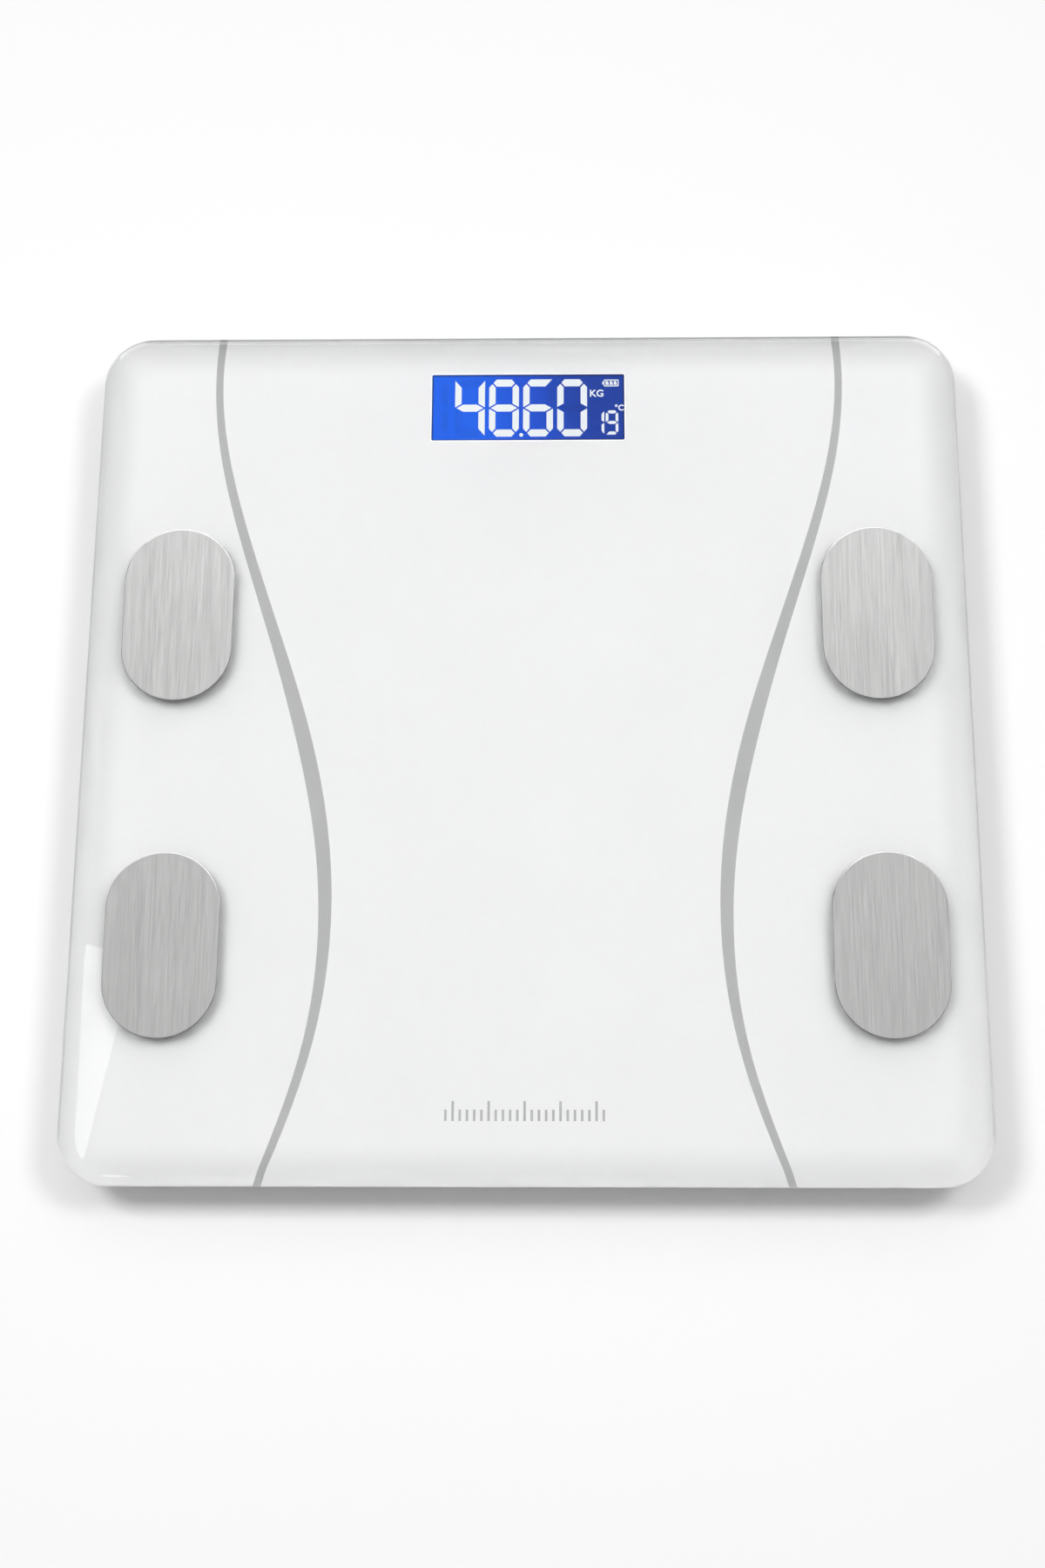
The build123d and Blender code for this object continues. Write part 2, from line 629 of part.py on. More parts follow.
def pocket_space(sx, sy):
    """What is taken out of that boss."""
    inner = CELL_SIDE - 2 * CELL_FRAME
    space = rod(pocket_r, 0, 0, base_z0, ceiling_z0)
    seat_out = CELL_SIDE - 2 * CELL_SEAT_INSET
    seat_in = inner + 2 * CELL_SEAT_FROM_HOLE
    seat = slab(seat_out, seat_out, CELL_CORNER_R, cell_z1, ceiling_z0)
    seat = seat - slab(seat_in, seat_in, CELL_SEAT_CORNER_R, cell_z1, ceiling_z0)
    space = space - seat
    out = CELL_SIDE / 2 + CELL_FIT
    for n in range(4):
        block = box(out, out + CELL_LOCATOR_T, -CELL_LOCATOR_L / 2, CELL_LOCATOR_L / 2,
                    cell_z0 + CELL_LOCATOR_UP, ceiling_z0)
        space = space - Rot(0, 0, 90 * n) * block
    rim_top = foot_rim_top()
    z0 = rim_top - HOOK_H - FOOT_DROP - HOOK_WINDOW_GAP
    z1 = rim_top + HOOK_WINDOW_GAP
    window_r = FOOT_R + HOOK_OUT + HOOK_END_GAP
    for angle in hook_angles:
        space = space + sector(pocket_r - HOOK_ROOT, window_r, angle, HOOK_ANGLE + HOOK_SIDE_GAP, z0, z1)
    wide = WIRE_PITCH + WIRE_R + CHANNEL_GAP
    tall = WIRE_R + EXIT_GAP
    space = space + box(-pocket_out_r - CUT_PAST, EXIT_INTO_POCKET - pocket_r, -wide, wide,
                        wire_z - tall, wire_z + tall)
    turn = 180 if sx < 0 else 0
    return Pos(sx * foot_x, sy * foot_y, 0) * Rot(0, 0, turn) * space


# ---------------------------------------------------------------- display and circuit board
def lcd_box():
    """The display glass: x half width, front y, rear y."""
    return (
        WINDOW_W / 2 + LCD_OVER_SIDE,
        window_y - WINDOW_D / 2 - LCD_LEDGE,
        window_y + WINDOW_D / 2 + LCD_OVER_REAR,
    )


def frame_outline():
    x, y0, y1 = lcd_box()
    return x + FRAME_FIT + FRAME_SIDE_T, y0 - FRAME_FIT - FRAME_FRONT_T, y1 + FRAME_FIT + FRAME_REAR_T


def make_display():
    x, y0, y1 = lcd_box()
    out_x, out_y0, out_y1 = frame_outline()
    lcd_z1 = print_z0 - LCD_TO_PRINT
    lcd_z0 = lcd_z1 - LCD_T
    guide_z1 = lcd_z0 - STACK_GAP
    guide_z0 = guide_z1 - GUIDE_T
    zebra_y0 = y0 + ZEBRA_FROM_FRONT
    zebra_y1 = zebra_y0 + ZEBRA_D
    zebra_x = x - ZEBRA_INSET
    slot_x = zebra_x + ZEBRA_END_FIT
    guide_x = x - GUIDE_INSET
    frame = box(-out_x, out_x, out_y0, out_y1, board_z1, lcd_z1)
    frame = frame - box(-x - FRAME_FIT, x + FRAME_FIT, y0 - FRAME_FIT, y1 + FRAME_FIT,
                        board_z1 + FRAME_FLOOR_T, lcd_z1)
    frame = frame - box(-slot_x, slot_x, zebra_y0 - ZEBRA_FIT, zebra_y1 + ZEBRA_FIT,
                        board_z1, board_z1 + FRAME_FLOOR_T)
    return {
        "lcd_panel": box(-x, x, y0, y1, lcd_z0, lcd_z1),
        "backlight_guide": box(-guide_x, guide_x, zebra_y1 + GUIDE_TO_ZEBRA, y1 - GUIDE_FROM_REAR,
                               guide_z0, guide_z1),
        "zebra_strip": box(-zebra_x, zebra_x, zebra_y0, zebra_y1, board_z1, lcd_z0),
        "lcd_frame": frame,
    }


def screw_places():
    places = [(s * BOARD_FRONT_SCREW_X, board_y0 + BOARD_SCREW_INSET) for s in (-1, 1)]
    places += [(s * (board_x - BOARD_SCREW_INSET), board_y1 - BOARD_SCREW_INSET) for s in (-1, 1)]
    return places


def make_board():
    board = box(-board_x, board_x, board_y0, board_y1, board_z0, board_z1)
    screws = []
    for x, y in screw_places():
        board = board - rod(SCREW_R + SCREW_HOLE_CLEARANCE, x, y, board_z0, board_z1)
        head = rod(SCREW_HEAD_R, x, y, board_z1, board_z1 + SCREW_HEAD_H)
        head = fillet(head.faces().sort_by(Axis.Z)[-1].edges(), SCREW_HEAD_EDGE_R)
        top = Pos(x, y, board_z1 + SCREW_HEAD_H)
        for angle in (0, 90):
            head = head - top * Rot(0, 0, angle) * Box(SCREW_SLOT_L, SCREW_SLOT_W, 2 * SCREW_SLOT_DEPTH)
        screws.append(head + rod(SCREW_R, x, y, board_z1 - SCREW_LENGTH, board_z1 + JOIN))
    chip = rod(CHIP_R, 0, (board_y0 + board_y1) / 2, board_z0 - CHIP_T, board_z0)
    chip = fillet(chip.faces().sort_by(Axis.Z)[0].edges(), CHIP_EDGE_R)
    return {"circuit_board": board, "board_screws": Compound(screws), "controller_chip": chip}


def make_unit_switch():
    x, y = BUTTON_X, button_y
    z0 = board_z0 - SWITCH_H
    half = SWITCH_SIDE / 2
    body = box(x - half, x + half, y - half, y + half, z0, board_z0)
    cavity_z1 = z0 + PLUNGER_IN + BUTTON_TRAVEL + SWITCH_CAVITY_SPARE
    body = body - rod(PLUNGER_R + PLUNGER_CLEARANCE, x, y, z0, cavity_z1)
    plunger = rod(PLUNGER_R, x, y, z0 - PLUNGER_OUT, z0 + PLUNGER_IN)
    flange_z0 = base_z1 + STACK_GAP
    button = rod(BUTTON_R, x, y, base_z0 + BUTTON_RECESS, flange_z0)
    button = fillet(button.faces().sort_by(Axis.Z)[0].edges(), BUTTON_EDGE_R)
    button = button + rod(BUTTON_FLANGE_R, x, y, flange_z0, flange_z0 + BUTTON_FLANGE_T)
    button = button + rod(PLUNGER_R, x, y, flange_z0, z0 - PLUNGER_OUT)
    return {"unit_switch": body, "switch_plunger": plunger, "unit_button": button}


# ---------------------------------------------------------------- batteries
def make_battery(side):
    """One cell along X. Its positive nub points to +X on the rear cell and to -X on the front one."""
    end = bay_x - SHEET_T
    y = BAY_Y + side * battery_spacing / 2
    shoulder = end - BATTERY_NUB_L
    tail = end - BATTERY_L
    body = Pos((shoulder + tail) / 2, 0, 0) * Rot(0, 90, 0) * Cylinder(BATTERY_R, shoulder - tail)
    body = fillet(body.edges().filter_by(GeomType.CIRCLE), BATTERY_EDGE_R)
    nub = Pos(end - BATTERY_NUB_L, 0, 0) * Rot(0, 90, 0) * Cylinder(BATTERY_NUB_R, 2 * BATTERY_NUB_L)
    cell = body + nub
    turn = 0 if side > 0 else 180
    return Pos(0, y, battery_z) * Rot(0, 0, turn) * cell


def battery_spring(side):
    end = bay_x - SHEET_T
    y = BAY_Y + side * battery_spacing / 2
    return coil(BATTERY_SPRING_R, BATTERY_SPRING_WIRE_R, BATTERY_SPRING_L, BATTERY_SPRING_TURNS,
                (-side * end, y, battery_z), (side, 0, 0))


def contact_sheet(side, width):
    """A sheet against the bay's end wall, on that side of the bay in X."""
    xs = sorted((side * bay_x, side * (bay_x - SHEET_T)))
    return box(xs[0], xs[1], -width / 2, width / 2, battery_z - SHEET_H / 2, battery_z + SHEET_H / 2)


def contact_tail(y):
    return box(bay_x - SHEET_T, tail_x, y - TAIL_W / 2, y + TAIL_W / 2,
               wire_z - SHEET_T / 2, wire_z + SHEET_T / 2)


def make_contacts():
    rear = BAY_Y + battery_spacing / 2
    front = BAY_Y - battery_spacing / 2
    pair = Pos(0, BAY_Y, 0) * contact_sheet(-1, battery_spacing + SHEET_W)
    positive = Pos(0, rear, 0) * contact_sheet(1, SHEET_W) + contact_tail(rear)
    negative = Pos(0, front, 0) * contact_sheet(1, SHEET_W) + contact_tail(front)
    return {
        "battery_contact_pair": Compound([*pair.solids(), *battery_spring(1).solids()]),
        "battery_contact_positive": positive,
        "battery_contact_negative": Compound([*negative.solids(), *battery_spring(-1).solids()]),
    }


def battery_routes():
    """Routes of the positive and the negative lead, from the contact tails to the board."""
    end = board_y0 + WIRE_ONTO_BOARD
    rear = BAY_Y + battery_spacing / 2
    front = BAY_Y - battery_spacing / 2
    lane_1 = bay_out_x + BATTERY_LANE_1
    lane_2 = bay_out_x + BATTERY_LANE_2
    return [
        [(tail_x, rear), (lane_1, rear), (lane_1, end)],
        [(tail_x, front), (lane_2, front), (lane_2, end)],
    ]


def make_battery_leads():
    bends = (BATTERY_BEND_1, BATTERY_BEND_2)
    return Compound([wire(route, wire_z, WIRE_R, bend) for route, bend in zip(battery_routes(), bends)])


def latch_notch():
    """Half width and inner end of the notch that the latch slides in."""
    return LATCH_W / 2 + LATCH_GAP, cover_x - LATCH_L - LATCH_TRAVEL - LATCH_TRAVEL_SPARE


def make_cover():
    z0, z1 = base_z0, base_z0 + COVER_T
    cover = box(hinge_x, cover_x, BAY_Y - cover_y, BAY_Y + cover_y, z0, z1)
    knuckle = Rot(90, 0, 0) * Cylinder(COVER_T / 2, 2 * cover_y)
    pin = Rot(90, 0, 0) * Cylinder(HINGE_PIN_R, 2 * (cover_y + HINGE_PIN_L))
    cover = cover + Pos(hinge_x, BAY_Y, hinge_z) * knuckle + Pos(hinge_x, BAY_Y, hinge_z) * pin
    ridge = box(COVER_RIDGE_END - cover_x, cover_x - COVER_RIDGE_END - LATCH_L,
                BAY_Y - COVER_RIDGE_W / 2, BAY_Y + COVER_RIDGE_W / 2, z1 - JOIN, z1 + COVER_RIDGE_H)
    cover = cover + ridge
    half, inner_end = latch_notch()
    past = cover_x + CUT_PAST
    cover = cover - box(inner_end, past, BAY_Y - half, BAY_Y + half, z0, z1)
    groove = half + LATCH_TONGUE
    middle = (z0 + z1) / 2
    cover = cover - box(inner_end, past, BAY_Y - groove, BAY_Y + groove,
                        middle - LATCH_GROOVE_H / 2, middle + LATCH_GROOVE_H / 2)
    for n in range(COVER_GRIP_LINES):
        x = inner_end - COVER_GRIP_FROM_LATCH - n * COVER_GRIP_PITCH
        cover = cover - box(x - COVER_GRIP_W / 2, x + COVER_GRIP_W / 2, BAY_Y - half, BAY_Y + half,
                            z0, z0 + GRIP_DEPTH)
    return cover


def make_latch():
    """Sliding latch in the free end of the cover, with a nib towards the base's catch."""
    z0, z1 = base_z0, base_z0 + COVER_T
    half = LATCH_W / 2
    middle = (z0 + z1) / 2
    latch = box(cover_x - LATCH_L, cover_x, BAY_Y - half, BAY_Y + half, z0, z1)
    tongue = half + LATCH_GAP + LATCH_TONGUE - LATCH_TONGUE_GAP
    latch = latch + box(cover_x - LATCH_L, cover_x - LATCH_TONGUE_SETBACK, BAY_Y - tongue, BAY_Y + tongue,
                        middle - LATCH_TONGUE_H / 2, middle + LATCH_TONGUE_H / 2)
    nib = half - LATCH_NIB_INSET
    latch = latch + box(cover_x, cover_x + LATCH_NIB, BAY_Y - nib, BAY_Y + nib,
                        middle, z1 - LATCH_NIB_BELOW_TOP)
    grip = half - LATCH_GRIP_INSET
    for n in range(LATCH_GRIP_LINES):
        x = cover_x - LATCH_GRIP_FROM_END - n * LATCH_GRIP_PITCH
        latch = latch - box(x - LATCH_GRIP_W / 2, x + LATCH_GRIP_W / 2, BAY_Y - grip, BAY_Y + grip,
                            z0, z0 + GRIP_DEPTH)
    return latch


# ---------------------------------------------------------------- base
def notch(points, reach):
    """Space along a level route of straight runs, cleared through the ribs from the wire up."""
    cuts = None
    for (xa, ya), (xb, yb) in zip(points, points[1:]):
        run = box(min(xa, xb) - reach, max(xa, xb) + reach, min(ya, yb) - reach, max(ya, yb) + reach,
                  wire_z - WIRE_R - CHANNEL_GAP / 2, rim_z + CUT_PAST)
        cuts = run if cuts is None else cuts + run
    return cuts


def make_ribs():
    ribs = None
    for s in (-1, 1):
        for rib in (
            box(-inner_x, inner_x, s * rib_y - RIB_T / 2, s * rib_y + RIB_T / 2, base_z1, rim_z),
            box(s * rib_x - RIB_T / 2, s * rib_x + RIB_T / 2, -inner_y, inner_y, base_z1, rim_z),
        ):
            ribs = rib if ribs is None else ribs + rib
    ribs = ribs + box(-RIB_T / 2, RIB_T / 2, -inner_y, BAY_Y, base_z1, rim_z)
    ribs = ribs + box(-inner_x, inner_x, -RIB_T / 2, RIB_T / 2, base_z1, rim_z)
    reach = WIRE_PITCH + WIRE_R + CHANNEL_GAP
    for sx, sy in CORNERS:
        ribs = ribs - notch(sensor_route(sx, sy), reach)
        ribs = ribs - notch(electrode_route(sx, sy), LEAD_R + CHANNEL_GAP)
        ribs = ribs - ring_room(sx, sy)
    for route in battery_routes():
        ribs = ribs - notch(route, WIRE_R + CHANNEL_GAP)
    out_x = frame_outline()[0]
    room = max(out_x, board_x) + DISPLAY_ROOM
    return ribs - box(-room, room, board_y0 - DISPLAY_ROOM, base_y, base_z1, rim_z)


def make_base():
    tray = slab(2 * base_x, 2 * base_y, BASE_CORNER_R, base_z0, rim_z)
    tray = fillet(tray.faces().sort_by(Axis.Z)[0].edges(), BASE_BOTTOM_R)
    tray = tray - slab(2 * inner_x, 2 * inner_y, BASE_CORNER_R - BASE_WALL, base_z1, rim_z)
    land = slab(2 * (inner_x + JOIN), 2 * (inner_y + JOIN), BASE_CORNER_R - BASE_WALL,
                rim_z - RIM_LAND_H, rim_z)
    land = land - slab(2 * (inner_x - RIM_LAND_W), 2 * (inner_y - RIM_LAND_W),
                       BASE_CORNER_R - BASE_WALL - RIM_LAND_W, rim_z - RIM_LAND_H, rim_z)
    clear_x = max(frame_outline()[0], board_x) + DISPLAY_ROOM
    land = land - box(-clear_x, clear_x, 0, inner_y, rim_z - RIM_LAND_H, rim_z)
    base = tray + land + make_ribs()

    for sx, sy in CORNERS:
        base = base + pocket_solid(sx, sy)
        base = base + rod(POST_R, sx * electrode_x, electrode_y[sy], base_z1 - JOIN, board_z1)
    bay_top = bay_roof_z0 + BAY_ROOF_T
    base = base + box(-bay_out_x, bay_out_x, BAY_Y - bay_out_y, BAY_Y + bay_out_y, base_z0, bay_top)
    for x, y in screw_places():
        base = base + rod(BOSS_R, x, y, base_z1 - JOIN, board_z0)

    for sx, sy in CORNERS:
        base = base - pocket_space(sx, sy)
    seat_z = base_z0 + COVER_T + COVER_SEAT_GAP
    base = base - box(-bay_x, bay_x, BAY_Y - bay_y, BAY_Y + bay_y, base_z0, bay_roof_z0)
    base = base - box(-seat_x, seat_x, BAY_Y - seat_y, BAY_Y + seat_y, base_z0, seat_z)
    pin_half = cover_y + HINGE_PIN_L + HINGE_END_GAP
    hole = Rot(90, 0, 0) * Cylinder(HINGE_PIN_R + HINGE_HOLE_CLEARANCE, 2 * pin_half)
    base = base - Pos(hinge_x, BAY_Y, hinge_z) * hole
    catch_half = LATCH_W / 2 - CATCH_INSET
    middle = base_z0 + COVER_T / 2
    base = base - box(seat_x - JOIN, seat_x + CATCH_DEPTH, BAY_Y - catch_half, BAY_Y + catch_half,
                      middle - CATCH_BELOW_NIB, seat_z)
    tail_half = TAIL_W / 2 + TAIL_SIDE_GAP
    for side in (-1, 1):
        y = BAY_Y + side * battery_spacing / 2
        base = base - box(bay_x - JOIN, bay_out_x + JOIN, y - tail_half, y + tail_half,
                          wire_z - TAIL_SLOT_H / 2, wire_z + TAIL_SLOT_H / 2)
    base = base - rod(BUTTON_R + BUTTON_HOLE_CLEARANCE, BUTTON_X, button_y, base_z0, base_z1)
    for x, y in screw_places():
        pilot_z0 = board_z1 - SCREW_LENGTH - SCREW_PILOT_PAST
        base = base - rod(SCREW_R + SCREW_PILOT_CLEARANCE, x, y, pilot_z0, board_z0)
    return base


def make_label():
    return slab(LABEL_W, LABEL_D, LABEL_CORNER_R, base_z0 - LABEL_T, base_z0, 0.0, LABEL_Y)


# ---------------------------------------------------------------- all of it
def make_all():
    nodes = {}
    nodes.update(make_platform())
    nodes["adhesive_frame"] = make_tape()
    nodes["base_shell"] = make_base()
    nodes["rating_label"] = make_label()
    nodes.update(make_display())
    nodes.update(make_board())
    nodes.update(make_unit_switch())
    nodes["battery_rear"] = make_battery(1)
    nodes["battery_front"] = make_battery(-1)
    nodes.update(make_contacts())
    nodes["battery_leads"] = make_battery_leads()
    nodes["battery_cover"] = make_cover()
    nodes["battery_latch"] = make_latch()
    for sx, sy in CORNERS:
        where = corner_name(sx, sy)
        nodes[f"electrode_{where}"] = make_electrode(sx, sy)
        nodes[f"electrode_spring_{where}"] = make_electrode_spring(sx, sy)
        nodes[f"electrode_lead_{where}"] = make_electrode_lead(sx, sy)
        nodes[f"load_cell_{where}"] = make_load_cell(sx, sy)
        nodes[f"strain_gauge_{where}"] = make_gauge(sx, sy)
        nodes[f"sensor_cable_{where}"] = flat_cable(sensor_route(sx, sy), wire_z, CABLE_BEND_R)
        nodes[f"foot_{where}"] = make_foot(sx, sy)
        nodes[f"foot_pad_{where}"] = make_foot_pad(sx, sy)
    return nodes


os.makedirs("parts", exist_ok=True)
for node, shape in make_all().items():
    export_step(shape, f"parts/{node}.step")
print("overall height", glass_z1 + ELECTRODE_T, "rim", rim_z, "board", board_z0, board_z1)
print("foot", foot_x, foot_y, "hinge", hinge_x, hinge_z, "wire height", wire_z)
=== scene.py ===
"""Looks of a digital bathroom scale: glass platform, printed pattern, electrodes, display, base."""
import json
import math

import bpy
from mathutils import Matrix, Vector


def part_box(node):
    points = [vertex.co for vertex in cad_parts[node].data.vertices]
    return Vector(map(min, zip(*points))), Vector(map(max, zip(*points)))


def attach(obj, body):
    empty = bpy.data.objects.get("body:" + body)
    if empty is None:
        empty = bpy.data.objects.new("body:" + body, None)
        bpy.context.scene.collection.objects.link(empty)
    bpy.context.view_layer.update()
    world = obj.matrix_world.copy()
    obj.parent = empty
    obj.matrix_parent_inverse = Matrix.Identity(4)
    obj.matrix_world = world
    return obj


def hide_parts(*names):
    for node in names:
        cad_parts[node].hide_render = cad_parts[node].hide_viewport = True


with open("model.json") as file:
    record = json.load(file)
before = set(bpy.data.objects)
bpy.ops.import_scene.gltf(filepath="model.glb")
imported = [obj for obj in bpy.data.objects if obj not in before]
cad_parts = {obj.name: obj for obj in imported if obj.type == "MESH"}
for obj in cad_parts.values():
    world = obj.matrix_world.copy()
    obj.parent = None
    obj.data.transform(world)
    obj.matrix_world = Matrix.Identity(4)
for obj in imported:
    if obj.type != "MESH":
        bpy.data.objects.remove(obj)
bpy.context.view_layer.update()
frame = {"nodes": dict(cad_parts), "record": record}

MM = 0.001
FIXED_BODY = "platform"

# ---------------------------------------------------------------- camera and light
AIM = Vector((-1.25, -11.1, 12.0)) * MM
CAMERA_DISTANCE = 0.7015
CAMERA_AZIMUTH = 4.13
CAMERA_ELEVATION = 72.31
CAMERA_ROLL = -4.02
CAMERA_LENS = 54.9
CAMERA_SENSOR = 36.0
CAMERA_NEAREST = 0.01
FLOOR_SIDE = 12.0
FLOOR_TONES = ((0.87, 0.87, 0.87), (0.89, 0.89, 0.89))
FLOOR_ROUGHNESS = 0.9
SKY_LOW = 0.24                  # the studio's light away from its bright part
SKY_HIGH = 1.0                  # and in the middle of its bright part, above and a little behind
SKY_TOWARDS = Vector((0.0, 0.3, 0.954)).normalized()
SKY_SPREAD = (0.55, 0.95)       # cosine of the angle from that middle, where the light fades
SKY_COLOUR = (1.0, 1.0, 1.0, 1.0)
KEY_SIDE = 0.3
KEYS = {                        # softboxes high at both sides: place in metres, power in watts
    "left_softbox": (Vector((-0.5, 0.1, 1.15)), 5.7),
    "right_softbox": (Vector((0.5, 0.1, 1.15)), 4.3),
}
KEY_TARGET = Vector((0.0, 0.0, 0.0))
BACKDROP_PLACE = Vector((0.0, 2.0, 0.92))       # behind the scale, facing it
BACKDROP_SIZE = (3.2, 1.8)
BACKDROP_POWER = 150.0


# ---------------------------------------------------------------- shader maths
class Value:
    """A number that varies over a surface. Arithmetic on it adds Math nodes."""

    def __init__(self, finish, socket):
        self.finish = finish
        self.socket = socket

    def maths(self, operation, *terms):
        return self.finish.node("ShaderNodeMath", {"operation": operation}, dict(enumerate(terms)))

    def __add__(self, other):
        return self.maths("ADD", self, other)

    def __radd__(self, other):
        return self.maths("ADD", other, self)

    def __sub__(self, other):
        return self.maths("SUBTRACT", self, other)

    def __rsub__(self, other):
        return self.maths("SUBTRACT", other, self)

    def __mul__(self, other):
        return self.maths("MULTIPLY", self, other)

    def __rmul__(self, other):
        return self.maths("MULTIPLY", other, self)

    def __truediv__(self, other):
        return self.maths("DIVIDE", self, other)

    def __abs__(self):
        return self.maths("ABSOLUTE", self)

    def least(self, other):
        return self.maths("MINIMUM", self, other)

    def most(self, other):
        return self.maths("MAXIMUM", self, other)

    def soft_least(self, other, width):
        """The lesser of the two, rounded off over a width where they cross."""
        return self.maths("SMOOTH_MIN", self, other, width)

    def sine(self):
        return self.maths("SINE", self)

    def wrapped(self, low, high):
        """Brought between low and high by whole steps."""
        return self.maths("WRAP", self, high, low)

    def over(self, low, high):
        """0 at low and 1 at high, with a soft start and end."""
        inputs = {"Value": self, "From Min": low, "From Max": high}
        return self.finish.node("ShaderNodeMapRange", {"interpolation_type": "SMOOTHSTEP"}, inputs)


class Nodes:
    """A node tree that nodes are added to."""

    def __init__(self, tree):
        self.tree = tree

    def node(self, kind, settings=None, inputs=None, output=0):
        """Adds a node: its settings first, then the values or links of its sockets."""
        node = self.tree.nodes.new(kind)
        for key, value in (settings or {}).items():
            setattr(node, key, value)
        for key, value in (inputs or {}).items():
            self.feed(node.inputs[key], value)
        return Value(self, node.outputs[output])

    def feed(self, socket, value):
        if isinstance(value, Value):
            self.tree.links.new(value.socket, socket)
        else:
            socket.default_value = value


class Finish(Nodes):
    """A procedural material on one Principled shader."""

    def __init__(self, name, **constants):
        self.material = bpy.data.materials.new(name)
        self.material.use_nodes = True
        super().__init__(self.material.node_tree)
        self.surface = self.tree.nodes["Principled BSDF"]
        self.place = self.node("ShaderNodeTexCoord", output="Object")
        for words, value in constants.items():
            self.surface.inputs[words.replace("_", " ").title().replace("Ior", "IOR")].default_value = value

    def set(self, name, value):
        self.feed(self.surface.inputs[name], value)
        return self

    def stretched(self, per_metre):
        """Object coordinates scaled along each axis, for a grain that runs one way."""
        return self.node("ShaderNodeMapping", None, {"Vector": self.place, "Scale": per_metre})

    def noise(self, scale, detail=2.0, roughness=0.5, place=None):
        """Cloudy noise from 0 to 1, its scale in blobs per metre."""
        inputs = {"Vector": place or self.place, "Scale": scale, "Detail": detail, "Roughness": roughness}
        return self.node("ShaderNodeTexNoise", None, inputs)

    def cells(self, scale):
        """Distance from the middles of scattered cells, the scale in cells per metre."""
        inputs = {"Vector": self.place, "Scale": scale}
        return self.node("ShaderNodeTexVoronoi", {"feature": "F1"}, inputs)

    def axes(self):
        """The three object coordinates as numbers."""
        split = self.node("ShaderNodeSeparateXYZ", None, {"Vector": self.place})
        return [Value(self, split.socket.node.outputs[axis]) for axis in "XYZ"]

    def blend(self, share, first, second):
        """A colour between two others; 6, 7 and output 2 are the Mix node's colour sockets."""
        inputs = {0: share, 6: first, 7: second}
        return self.node("ShaderNodeMix", {"data_type": "RGBA"}, inputs, output=2)

    def tone(self, share, dark, light):
        """The blend of two plain colours."""
        return self.blend(share, (*dark, 1.0), (*light, 1.0))

    def relief(self, height, depth, strength=1.0):
        """Surface relief, depth in metres."""
        inputs = {"Height": height, "Distance": depth, "Strength": strength}
        return self.set("Normal", self.node("ShaderNodeBump", None, inputs))


def display_colour(red, green, blue):
    """Scene-linear colour of a display colour given from 0 to 255."""
    linear = []
    for channel in (red, green, blue):
        share = channel / 255
        linear.append(share / 12.92 if share <= 0.04045 else ((share + 0.055) / 1.055) ** 2.4)
    return tuple(linear)


def shade(colour, factor):
    """A colour made darker or lighter."""
    return tuple(min(channel * factor, 1.0) for channel in colour)


# ---------------------------------------------------------------- finishes
PRINT_WHITE = (0.885, 0.885, 0.887)
PRINT_GREY = (0.45, 0.45, 0.452)
# painted shade: the print colour darkened towards the plate's edges, more at the rear than at the front
PAINTED_EDGE_SHADE_FRONT = 0.80
PAINTED_EDGE_SHADE_REAR = 0.68
PAINTED_RIM_SHADE = 0.45                # painted shade: a darker outermost line of the print, away from the front edge
PAINTED_RIM_WIDTH = 1.6 * MM
PAINTED_RIM_FADE_FROM = 0.6             # share of its width at which the painted shade line starts to fade inwards
PAINTED_EDGE_SHADE_WIDTH = 13 * MM
PAINTED_EDGE_SHADE_FROM = -1 * MM
EDGE_CORNER_BLEND = 8 * MM      # rounds the painted edge shade off at the corners
GLASS_IOR = 1.25
GLASS_TINT = (0.996, 0.998, 0.997, 1.0)
GLASS_HAZE = 0.012              # greatest roughness
INK_MOTTLE = 0.03
STEEL_DARK = (0.39, 0.39, 0.388)
STEEL_LIGHT = (0.475, 0.475, 0.472)
STEEL_FINE_GRAIN = (6000.0, 90.0, 90.0)         # per metre across, along and through the plate
STEEL_BROAD_GRAIN = (2000.0, 30.0, 30.0)
TRACK_WAVE = 700.0              # radians per metre of the wave that makes the board's tracks
SLEEVE_BAND_FROM = 12 * MM      # from the battery's middle to its lighter end
SLEEVE_BAND_FULL = 12.6 * MM
LABEL_BORDER_INSET = 1.6 * MM
LABEL_BORDER_EDGE = (0.28 * MM, 0.18 * MM)      # from its middle line: where it ends, where it is full
LABEL_ROW = 5.2 * MM
LABEL_RULE_EDGE = (0.035, 0.02)                 # the same for a ruled line, as shares of a row
LABEL_MARGIN = (3.9 * MM, 4.0 * MM)


def painted_edge_shade_masks(finish):
    """Painted light and shade on the print: a share that is off near the edges, the share towards the rear,
    and a share inside the painted dark rim line.
    """
    low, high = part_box("glass_platform")
    x, y, _ = finish.axes()
    from_side = (high.x - low.x) / 2 - abs(x - (high.x + low.x) / 2)
    from_end = (high.y - low.y) / 2 - abs(y - (high.y + low.y) / 2)
    light = from_side.soft_least(from_end, EDGE_CORNER_BLEND).over(PAINTED_EDGE_SHADE_FROM, PAINTED_EDGE_SHADE_WIDTH)
    towards_rear = ((y - low.y) / (high.y - low.y)).over(0.0, 1.0)
    # the share inside the painted dark rim line
    inside = from_side.least(high.y - y).over(PAINTED_RIM_WIDTH * PAINTED_RIM_FADE_FROM, PAINTED_RIM_WIDTH)
    return light, towards_rear, inside


def clear_glass():
    """Clear glass with the faintest uneven haze."""
    finish = Finish("clear_tempered_glass", base_color=GLASS_TINT, ior=GLASS_IOR)
    finish.surface.inputs["Transmission Weight"].default_value = 1.0
    haze = finish.noise(9.0, 4.0)
    finish.set("Roughness", haze.over(0.45, 0.8) * GLASS_HAZE)
    return finish.material


